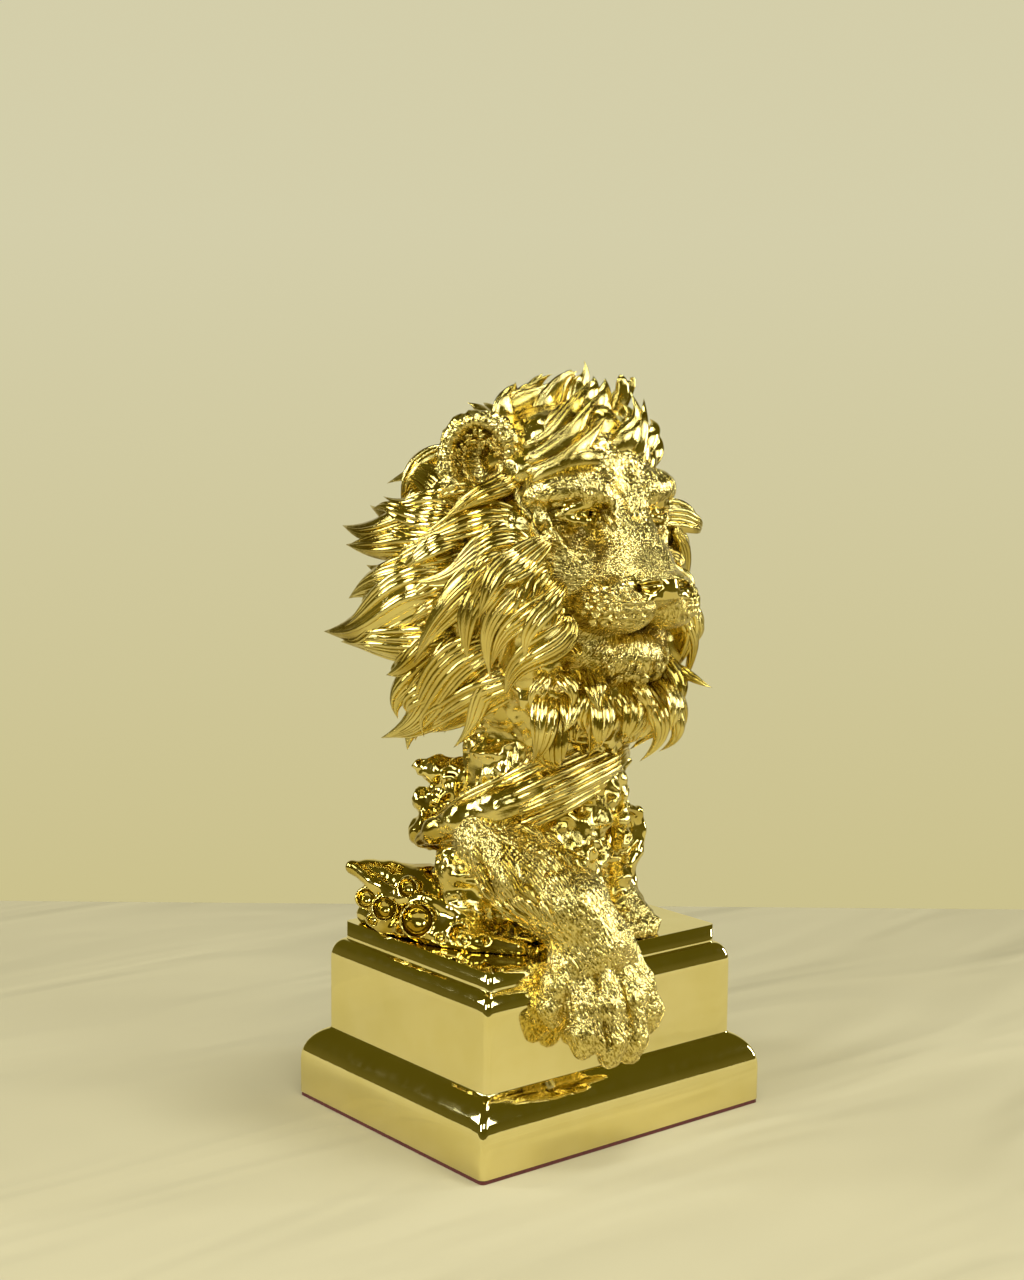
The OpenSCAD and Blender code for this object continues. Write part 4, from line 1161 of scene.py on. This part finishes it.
def buildCrags():
    c = clayFor("shoulder_crags", cragLook["step"])
    for chain in ([[-22, 24, 64, 11], [-30, 30, 68, 6], [-37, 36, 71, 2.5]],
                  [[-24, 26, 54, 12], [-34, 34, 54, 6]],
                  [[-24, 22, 42, 14], [-34, 28, 42, 9], [-39, 32, 40, 4]],
                  [[18, -6, 64, 12], [34, -10, 66, 7], [46, -13, 71, 2]],
                  [[22, 4, 54, 13], [34, -8, 52, 8], [38, -12, 50, 4]],
                  [[20, 24, 60, 11], [26, 32, 64, 6], [30, 38, 68, 3]],
                  [[4, 28, 50, 14], [8, 38, 52, 8], [10, 44, 56, 4]],
                  [[-24, 24, 44, 13], [-10, 30, 46, 12], [4, 28, 50, 14], [20, 24, 56, 12],
                   [26, 10, 56, 12], [28, -4, 60, 10]]):
        c.limb(chain, 3)
    for place in ([-36, 30, 62, 3.5], [-38, 24, 50, 4], [-33, 38, 47, 3], [33, -14, 59, 4],
                  [40, -10, 61, 3], [29, -17, 66, 4], [-28, 36, 66, 2.5]):
        c.limb([place], 1.5, cut=True)
    piece = cast("crags", c, plateGold)
    crumple(piece, cragLook["foldSize"], cragLook["foldDepth"], fold=0.6, seed=21)
    return piece


# scrolls
scrollLook = {"step": 0.75, "foldSize": 9, "rightFold": 0.25, "leftFold": 0.5}


def buildRightScroll():
    c = clayFor("right_scroll", scrollLook["step"])
    c.limb([[-44, 28, 14, 13], [-54, 34, 20, 9], [-62, 37, 25, 5], [-70, 39, 28, 2.5]], 4)
    c.limb([[-42, 18, 14, 14], [-40, 34, 10, 14]], 6)
    c.limb([[-44, 2, 9, 11], [-42, 18, 12, 14]], 6)
    c.limb([[-36, -12, 6, 9], [-44, 2, 9, 11]], 6)
    c.limb([[-44, 56, 3, 3.5], [-58, 44, 4, 4.5], [-62, 24, 4, 4.5], [-56, -2, 4, 4.5], [-48, -20, 3, 4.5],
            [-36, -36, 2, 4.5]], 2.5)
    c.limb([[-52, 26, 6, 8], [-52, 6, 6, 8], [-44, -14, 5, 8]], 4)
    # rolled lip over the bubbles
    c.limb([[-70, 39, 28, 2.5], [-64, 28, 21, 3], [-61, 14, 17.5, 2.6], [-56, 3, 19, 2.4],
            [-49, -8, 15, 2.4], [-44, -18, 9, 2.4]], 2)
    for x, y, z, r in ((-64, 22, 12, 5), (-60, 3, 10, 7), (-50, -14, 6, 4.5), (-58, 13, 22, 4),
                       (-67, 32, 15, 4), (-56, -8, 4, 2.2), (-52, -20, 5, 2.2), (-44, -25, 4, 2.2),
                       (-62, 12, 5, 2.4), (-40, -30, 3, 1.8), (-66, 28, 6, 2.4)):
        c.limb([[x, y, z, r + 1.3]], 2)
        c.limb([[x - 1.5, y - 1.5, z + 0.4, r]], 0.8, cut=True)
    c.field[:, :, c.axes[2] < 0] = 8
    piece = cast("rightScroll", c, plateGold)
    crumple(piece, scrollLook["foldSize"], scrollLook["rightFold"], seed=31)
    return piece


def buildLeftScroll():
    c = clayFor("left_scroll", scrollLook["step"])
    c.limb([[30, 2, 24, 11], [38, 0, 32, 9]], 4)
    c.egg([45, -4, 36], [14, 8, 12], 3, turn=(0, -24, 0))
    c.limb([[30, -8, 38, 2.6], [38, -10, 45.5, 2.8], [47, -10, 48.5, 2.8], [57, -8, 45, 2.6],
            [59, -8, 36, 2.6], [56, -9, 27, 2.8], [50, -10, 22, 3]], 2)
    c.limb([[52, -7, 22, 5], [50, -7, 12, 5.5], [55, -9, 2, 5]], 3)
    c.limb([[44, 4, 20, 8], [50, 8, 8, 7], [54, 14, 4, 5]], 4)
    # the hollow of the leaf, and two smaller ones down the stem
    c.egg([45, -13.5, 37], [10.5, 8, 8.5], 1.5, cut=True, turn=(0, -24, 0))
    c.limb([[51, -15, 15, 3.2]], 1.5, cut=True)
    c.limb([[43, -10, 24, 3.4]], 1.5, cut=True)
    c.field[:, :, c.axes[2] < 0] = 8
    piece = cast("leftScroll", c, plateGold)
    crumple(piece, scrollLook["foldSize"], scrollLook["leftFold"], seed=41)
    return piece


# forelegs
legLook = {"rightStep": 0.75, "leftStep": 0.7, "rightFur": 0.4, "leftFur": 0.35, "coat": 80}


def furSkin(piece, heading, depth):
    # short coat combed along one direction
    co = figurePlaces(piece)
    heading = unit(np.array(heading, float))
    side = unit(np.cross(heading, [0, 0, 1.0]))
    up = np.cross(side, heading)
    warp = grain(co / 15, 3) * 3
    u, v, w = co @ side + warp, co @ heading, co @ up + warp * 0.6
    tufts = grain(np.stack([u / 1.6, v / 7, w / 1.6], 1), 5)
    fine = grain(np.stack([u / 0.8, v / 4, w / 0.8], 1), 7)
    pushOut(piece, depth * (tufts + 0.5 * fine))
    setFlow(piece, np.stack([u * 1.15, v * 0.36, w * 1.15], 1))
    piece.data.materials.append(legGold)


def buildRightLeg():
    c = clayFor("right_foreleg", legLook["rightStep"])
    c.limb([[-35, -14, 44, 16], [-33, -38, 33, 15.5], [-24, -54, 22, 15.5], [-15, -61, 6, 16]], 6)
    c.limb([[-30, -30, 40, 12], [-18, -50, 26, 12]], 6)
    # the back of the paw, broad and flat, with the tendons down to each toe
    c.limb([[-24, -60, -2, 12], [-4, -60, -2, 12]], 6)
    c.limb([[-24, -62, -14, 11], [-2, -62, -13, 11]], 6)
    for toe in ([[-24, -60, 4, 6], [-28, -70, -16, 7.5], [-31, -73, -27, 7.5], [-32, -74, -32, 5]],
                [[-18, -64, 6, 6], [-20, -75, -16, 8], [-21, -78, -30, 7.8], [-21, -78, -37, 5]],
                [[-10, -64, 6, 6], [-9, -75, -16, 8], [-9, -78, -31, 7.8], [-9, -77, -38, 5]],
                [[-2, -62, 4, 6], [2, -69, -12, 7.5], [5, -72, -24, 7.5], [6, -72, -29, 5]],
                [[-30, -58, 0, 6], [-35, -61, -8, 7], [-39, -61, -17, 5.5], [-38, -61, -22, 4]]):
        c.limb(toe, 2)
    for a, b in (([-25.5, -85, -36, 1.2], [-24, -73, -4, 0.8]),
                 ([-15, -88, -40, 1.2], [-14.5, -76, -4, 0.8]),
                 ([-2.5, -85, -36, 1.2], [-5, -74, -2, 0.8])):
        c.limb([a, b], 3, cut=True)
    piece = c.mesh("rightLeg")
    furSkin(piece, (0.25, -0.5, -1), legLook["rightFur"])
    # long ropes of coat over the upper arm, thinning out towards the wrist
    roots = [[-34 + rng.uniform(-16, 12), -30 + rng.uniform(-22, 18),
              34 + rng.uniform(-14, 16)] for _ in range(legLook["coat"])]

    def comb(p):
        return np.array([0.25 - 0.02 * (p[0] + 34), -0.55, -0.8])

    def size(p):
        return rng.uniform(11, 17), rng.uniform(3.4, 5.4), 2.4

    coat = layTufts("armHair", piece, roots, comb, size, strandGold, lift=0.5, drop=1.2)
    return joined("rightLeg", [piece, coat])


def buildLeftLeg():
    c = clayFor("left_foreleg", legLook["leftStep"])
    c.limb([[16, -14, 26, 13], [23, -30, 12, 11], [25, -40, 7, 9]], 5)
    c.limb([[12, -20, 16, 9], [22, -20, 12, 9], [30, -24, 10, 7]], 5)
    for toe in ([[18, -34, 8, 5], [18, -40, 7, 5.5], [16, -47, 4, 4.6]],
                [[22, -36, 8, 5], [22, -42, 7, 5.5], [21, -49, 4, 4.6]],
                [[28, -36, 8, 5], [28, -42, 7, 5.5], [27, -49, 4, 4.6]],
                [[31, -32, 8, 5], [33, -38, 6, 5], [33, -45, 4, 4]]):
        c.limb(toe, 1.5)
    c.field[:, :, c.axes[2] < 0] = 8
    piece = c.mesh("leftLeg")
    furSkin(piece, (0.2, -1, -0.4), legLook["leftFur"])
    return piece


# plinth
plinthLook = {"cornerRadius": 3.0, "cornerSteps": 8, "edge": 1.1, "footHigh": 15.2, "ogeeHigh": 15.8,
              "ogeeIn": 10, "coveIn": 5.25, "coveHigh": 9, "blockBelow": 17,
              "roofThick": 10, "roofIn": 21.25, "shelfBelow": 21, "wallIn": 16, "rebate": 4, "mouthIn": 11}


def roundedRing(halfWide, halfDeep, z, radius, steps):
    ring = []
    for quarter, (sx, sy) in enumerate(((1, 1), (-1, 1), (-1, -1), (1, -1))):
        for k in range(steps + 1):
            a = math.pi / 2 * (quarter + k / steps)
            ring.append((sx * (halfWide - radius) + radius * math.cos(a),
                         sy * (halfDeep - radius) + radius * math.sin(a), z))
        # the flat sides get points of their own
        nextX, nextY = ((-1, 1), (-1, -1), (1, -1), (1, 1))[quarter]
        end = np.array(ring[-1])
        a = math.pi / 2 * (quarter + 1)
        goal = np.array([nextX * (halfWide - radius) + radius * math.cos(a),
                         nextY * (halfDeep - radius) + radius * math.sin(a), z])
        for k in range(1, 24):
            ring.append(tuple(end + (goal - end) * k / 24))
    return ring


def loftRings(name, rings):
    count = len(rings[0])
    verts = [v for ring in rings for v in ring]
    faces = []
    for r in range(len(rings) - 1):
        for i in range(count):
            j = (i + 1) % count
            faces.append((r * count + i, r * count + j, (r + 1) * count + j, (r + 1) * count + i))
    faces.append(tuple(range(count - 1, -1, -1)))
    faces.append(tuple(range(len(verts) - count, len(verts))))
    return meshFrom(name, verts, faces)


def plinthSide():
    # [distance in from the foot's face, height], in millimetres above the ground
    low, high = plinthLow.z / mm, plinthHigh.z / mm
    foot = low + plinthLook["footHigh"]
    block = high - plinthLook["blockBelow"]
    line = [[0, low], [0, foot]]
    sweep = math.radians(80)
    for i in range(1, 13):
        t = i / 12
        a = sweep * t
        rise = plinthLook["ogeeHigh"] * math.sin(a) / math.sin(sweep)
        line.append([plinthLook["ogeeIn"] * (1 - math.cos(a)) / (1 - math.cos(sweep)),
                     foot + rise * (1 - 0.18 * t * (1 - t))])
    line.append([plinthLook["ogeeIn"], block])
    for i in range(1, 11):
        a = math.radians(9 * i)
        line.append([plinthLook["ogeeIn"] + plinthLook["coveIn"] * (1 - math.cos(a)),
                     block + plinthLook["coveHigh"] * math.sin(a)])
    line.append([plinthLook["ogeeIn"] + plinthLook["coveIn"], high])
    return line


def softened(line, edge):
    # rounds each sharp turn of the side's outline
    out = []
    for i, p in enumerate(line):
        p = np.array(p, float)
        if i in (0, len(line) - 1):
            out.append(p)
            continue
        a, b = np.array(line[i - 1], float), np.array(line[i + 1], float)
        u, v = (a - p) / np.linalg.norm(a - p), (b - p) / np.linalg.norm(b - p)
        bend = math.degrees(math.acos(max(-1, min(1, -float(u @ v)))))
        if bend < 14:
            out.append(p)
            continue
        reach = min(edge, np.linalg.norm(a - p) / 2.2, np.linalg.norm(b - p) / 2.2)
        for s in np.linspace(0, 1, 6):
            out.append((1 - s) ** 2 * (p + u * reach) + 2 * s * (1 - s) * p + s * s * (p + v * reach))
    return out


def buildPlinth():
    halfX, halfY = plinthHigh.x / mm, plinthHigh.y / mm
    edge, radius, steps = plinthLook["edge"], plinthLook["cornerRadius"], plinthLook["cornerSteps"]
    low, high = plinthLow.z / mm, plinthHigh.z / mm
    rings = []
    # inside of the shell, from its ceiling down to the board's rebate
    roof, wall, mouth = plinthLook["roofIn"], plinthLook["wallIn"], plinthLook["mouthIn"]
    shelf, step = high - plinthLook["shelfBelow"], low + plinthLook["rebate"]
    for inset, z in ((roof, high - plinthLook["roofThick"]), (roof, shelf), (wall, shelf),
                     (wall, step), (mouth, step), (mouth, low)):
        rings.append(roundedRing(halfX - inset, halfY - inset, z, 1.5, steps))
    side = softened(plinthSide(), edge)
    side[0] = np.array([0.5, low])
    side.insert(1, np.array([0.0, low + 0.5]))
    for inset, z in side:
        rings.append(roundedRing(halfX - inset, halfY - inset, z, radius, steps))
    last = side[-1]
    for s in (0.3, 0.6, 0.85, 1.0):
        rings.append(roundedRing(halfX - last[0] - s * 1.2, halfY - last[0] - s * 1.2, high, radius, steps))
    piece = loftRings("plinth", [[(x * mm, y * mm, z * mm) for x, y, z in ring] for ring in rings])
    bm = bmesh.new()
    bm.from_mesh(piece.data)
    bmesh.ops.recalc_face_normals(bm, faces=bm.faces)
    bm.to_mesh(piece.data)
    bm.free()
    piece.data.materials.append(plinthGold)
    return piece


def feltFinish():
    material, nodes, links, shader = newMaterial("redFelt")
    shader.inputs["Roughness"].default_value = 0.95
    fuzz = cloud(nodes, links, objectPlace(nodes), 900, 4)
    tint = colourRamp(nodes, links, fuzz, [(0.05, 0.012, 0.01, 1), (0.16, 0.035, 0.025, 1)])
    links.new(tint, shader.inputs["Base Color"])
    links.new(relief(nodes, links, fuzz, 0.3 * mm), shader.inputs["Normal"])
    return material


def metalFinish(name, dark, light, roughness, scale):
    material, nodes, links, shader = newMaterial(name)
    shader.inputs["Metallic"].default_value = 1
    scuff = cloud(nodes, links, objectPlace(nodes), scale, 5)
    links.new(colourRamp(nodes, links, scuff, [dark, light]), shader.inputs["Base Color"])
    links.new(rangeOf(nodes, links, scuff, roughness[0], roughness[1]), shader.inputs["Roughness"])
    return material


def boardFinish():
    material, nodes, links, shader = newMaterial("baseBoard")
    shader.inputs["Roughness"].default_value = 0.8
    fibre = cloud(nodes, links, stretched(nodes, links, objectPlace(nodes), (12, 160, 160)), 1, 6)
    tint = colourRamp(nodes, links, fibre, [(0.24, 0.13, 0.06, 1), (0.42, 0.27, 0.14, 1)])
    links.new(tint, shader.inputs["Base Color"])
    return material


pieces = [
    (buildHead, "head_casting", "gold_fur"),
    (lambda: buildEar("right", -1), "right_ear", "gold_fur"),
    (lambda: buildEar("left", 1), "left_ear", "gold_fur"),
    (buildCrest, "crest_locks", "gold_plate"),
    (lambda: buildUpperMane("right", -1, upperLocks), "right_upper_mane", "gold_plate"),
    (lambda: buildUpperMane("left", 1, upperLocks[1:] + farLock), "left_upper_mane", "gold_plate"),
    (lambda: buildLowerMane("right", -1), "right_lower_mane", "gold_plate"),
    (lambda: buildLowerMane("left", 1), "left_lower_mane", "gold_plate"),
    (buildBackMane, "back_mane", "gold_plate"),
    (buildThroat, "throat_ruff", "gold_plate"),
    (buildChest, "chest_casting", "gold_plate"),
    (buildSweep, "shoulder_sweep", "gold_plate"),
    (buildCrags, "shoulder_crags", "gold_plate"),
    (buildRightScroll, "right_scroll", "gold_plate"),
    (buildLeftScroll, "left_scroll", "gold_plate"),
    (buildRightLeg, "right_foreleg", "gold_fur"),
    (buildLeftLeg, "left_foreleg", "gold_fur"),
    (buildPlinth, "plinth_shell", "gold_plate")]
for build, node, slot in pieces:
    piece = build()
    show(piece, node)
    print(piece.name + ":", len(piece.data.polygons), "faces")

steelGloss = metalFinish("brightSteel", (0.50, 0.50, 0.51, 1), (0.66, 0.66, 0.67, 1), (0.15, 0.32), 420)
brassGloss = metalFinish("insertBrass", (0.55, 0.38, 0.14, 1), (0.72, 0.54, 0.24, 1), (0.2, 0.38), 380)
kept = {"felt_pad": (feltFinish(), "red_felt"), "bottom_board": (boardFinish(), "base_board"),
        "chest_insert": (brassGloss, "brass_insert")}
for node in ("board_screws", "tie_bolt", "flat_washer", "lock_washer", "locating_dowels", "neck_rods",
             "leg_pins"):
    kept[node] = (steelGloss, "bright_steel")
for node, (finish, slot) in kept.items():
    carried = frame["nodes"][node]
    carried.data.materials.clear()
    carried.data.materials.append(finish)


# studio
studio = {
    "wallLow": (0.59, 0.52, 0.235, 1), "wallHigh": (0.66, 0.62, 0.40, 1), "cloth": (0.46, 0.41, 0.245, 1),
    "horizon": (0.13, 0.11, 0.024, 1), "ceiling": (0.095, 0.080, 0.008, 1),
    "foldStretch": (2.2, 7, 1), "foldTurn": 0.5, "foldSize": 1.6, "foldDepth": 0.012,
    "tableBack": 0.3455, "tableFront": 0.62, "tableSide": 0.75,
    "lens": 55.75, "eye": (-0.5541, -0.6714, 0.316), "azimuth": -38.93, "dip": 6.95, "roll": 0.48,
}


def clothFinish():
    material, nodes, links, shader = newMaterial("paleCloth")
    shader.inputs["Roughness"].default_value = 0.9
    place = objectPlace(nodes)
    # random patches of the cloth a little darker, at 0.92 of its colour
    dimCloth = [c * 0.92 for c in studio["cloth"][:3]] + [1]
    clothTone = colourRamp(nodes, links, cloud(nodes, links, place, 9), [dimCloth, studio["cloth"]])
    links.new(clothTone, shader.inputs["Base Color"])
    laid = stretched(nodes, links, place, studio["foldStretch"], studio["foldTurn"])
    folds = cloud(nodes, links, laid, studio["foldSize"], wander=0.8)
    links.new(relief(nodes, links, folds, studio["foldDepth"]), shader.inputs["Normal"])
    return material


def backdrop():
    # a pale cloth on a table that ends a little way behind the object
    turn = math.radians(studio["azimuth"])
    across = Vector((math.cos(turn), math.sin(turn), 0))
    away = Vector((-across.y, across.x, 0))
    back, front = away * studio["tableBack"], away * -studio["tableFront"]
    side = across * studio["tableSide"]
    floor = meshFrom("floor", [front - side, front + side, back + side, back - side], [(0, 1, 2, 3)],
                     smooth=False)
    floor.data.materials.append(clothFinish())


def roomLight():
    # pale wall behind the table, and the rest of the room dim with a dark ceiling
    world = bpy.data.worlds.new("room")
    world.use_nodes = True
    nodes, links = world.node_tree.nodes, world.node_tree.links
    place = addNode(nodes, "ShaderNodeTexCoord").outputs["Generated"]
    parts = addNode(nodes, "ShaderNodeSeparateXYZ")
    links.new(place, parts.inputs["Vector"])
    height = parts.outputs["Z"]
    room = colourRamp(nodes, links, height, [studio["horizon"], studio["ceiling"]], (0.06, 0.30))
    rise = rangeOf(nodes, links, height, 0, 1, -0.6, 0.5)
    wall = colourRamp(nodes, links, rise, [studio["wallLow"], studio["wallHigh"]], (0.26, 0.62))
    turn = math.radians(studio["azimuth"])
    facing = addNode(nodes, "ShaderNodeVectorMath", operation="DOT_PRODUCT")
    facing.inputs[1].default_value = (-math.sin(turn), math.cos(turn), 0)
    links.new(place, facing.inputs[0])
    behind = rangeOf(nodes, links, facing.outputs["Value"], 0, 1, 0.72, 0.90)
    seen = addNode(nodes, "ShaderNodeLightPath")
    most = addNode(nodes, "ShaderNodeMath", operation="MAXIMUM")
    links.new(behind, most.inputs[0])
    links.new(seen.outputs["Is Camera Ray"], most.inputs[1])
    mix = addNode(nodes, "ShaderNodeMix", data_type="RGBA")
    links.new(most.outputs[0], mix.inputs["Factor"])
    links.new(room, mix.inputs[6])
    links.new(wall, mix.inputs[7])
    links.new(mix.outputs[2], nodes["Background"].inputs["Color"])
    bpy.context.scene.world = world


def softbox(name, place, target, size, power, colour=(1, 0.97, 0.86), mirrored=True):
    light = bpy.data.lights.new(name, "AREA")
    light.shape = "RECTANGLE"
    light.size, light.size_y = size
    light.energy = power
    light.color = colour
    lamp = bpy.data.objects.new(name, light)
    lamp.location = place
    lamp.rotation_euler = (Vector(target) - Vector(place)).to_track_quat("-Z", "Y").to_euler()
    lamp.visible_glossy = mirrored
    bpy.context.scene.collection.objects.link(lamp)


def camera():
    a, e = math.radians(studio["azimuth"]), math.radians(studio["dip"])
    back = Vector((math.sin(a) * math.cos(e), -math.cos(a) * math.cos(e), math.sin(e)))
    right = Vector((math.cos(a), math.sin(a), 0))
    up = back.cross(right)
    r = math.radians(studio["roll"])
    side = right * math.cos(r) + up * math.sin(r)
    top = up * math.cos(r) - right * math.sin(r)
    lens = bpy.data.cameras.new("camera")
    lens.lens = studio["lens"]
    lens.sensor_width = 36
    lens.clip_start = 0.01
    eye = bpy.data.objects.new("camera", lens)
    turn = Matrix((side, top, back)).transposed().to_4x4()
    eye.matrix_world = Matrix.Translation(studio["eye"]) @ turn
    bpy.context.scene.collection.objects.link(eye)
    bpy.context.scene.camera = eye


backdrop()
roomLight()
softbox("leftWindow", (-1.7, -0.2, 1.0), (0, 0.1, 0.2), (0.3, 0.6), 15, (0.92, 0.96, 1))
softbox("rightWindow", (1.6, -0.8, 0.5), (0, 0, 0.2), (0.22, 0.7), 15, (0.92, 0.96, 1))
softbox("frontWindow", (0.7, -1.7, 1.15), (0, 0, 0.22), (0.8, 0.8), 15, (0.94, 0.97, 1))
softbox("nearWindow", (-1.0, -1.2, 1.35), (0, 0, 0.22), (0.7, 0.5), 5, (0.92, 0.96, 1))
softbox("backWindow", (-1.2, 1.1, 0.9), (0, 0, 0.2), (0.3, 0.7), 12, (0.92, 0.96, 1))
softbox("topWindow", (0.35, -0.25, 1.9), (0, 0, 0.25), (0.3, 0.45), 13, (0.92, 0.96, 1))
softbox("roomFill", (-0.7, -0.9, 1.5), (0, 0.2, 0.1), (1.4, 1.4), 22, (1, 0.97, 0.88), mirrored=False)
bpy.context.scene.view_settings.view_transform = "Standard"
camera()
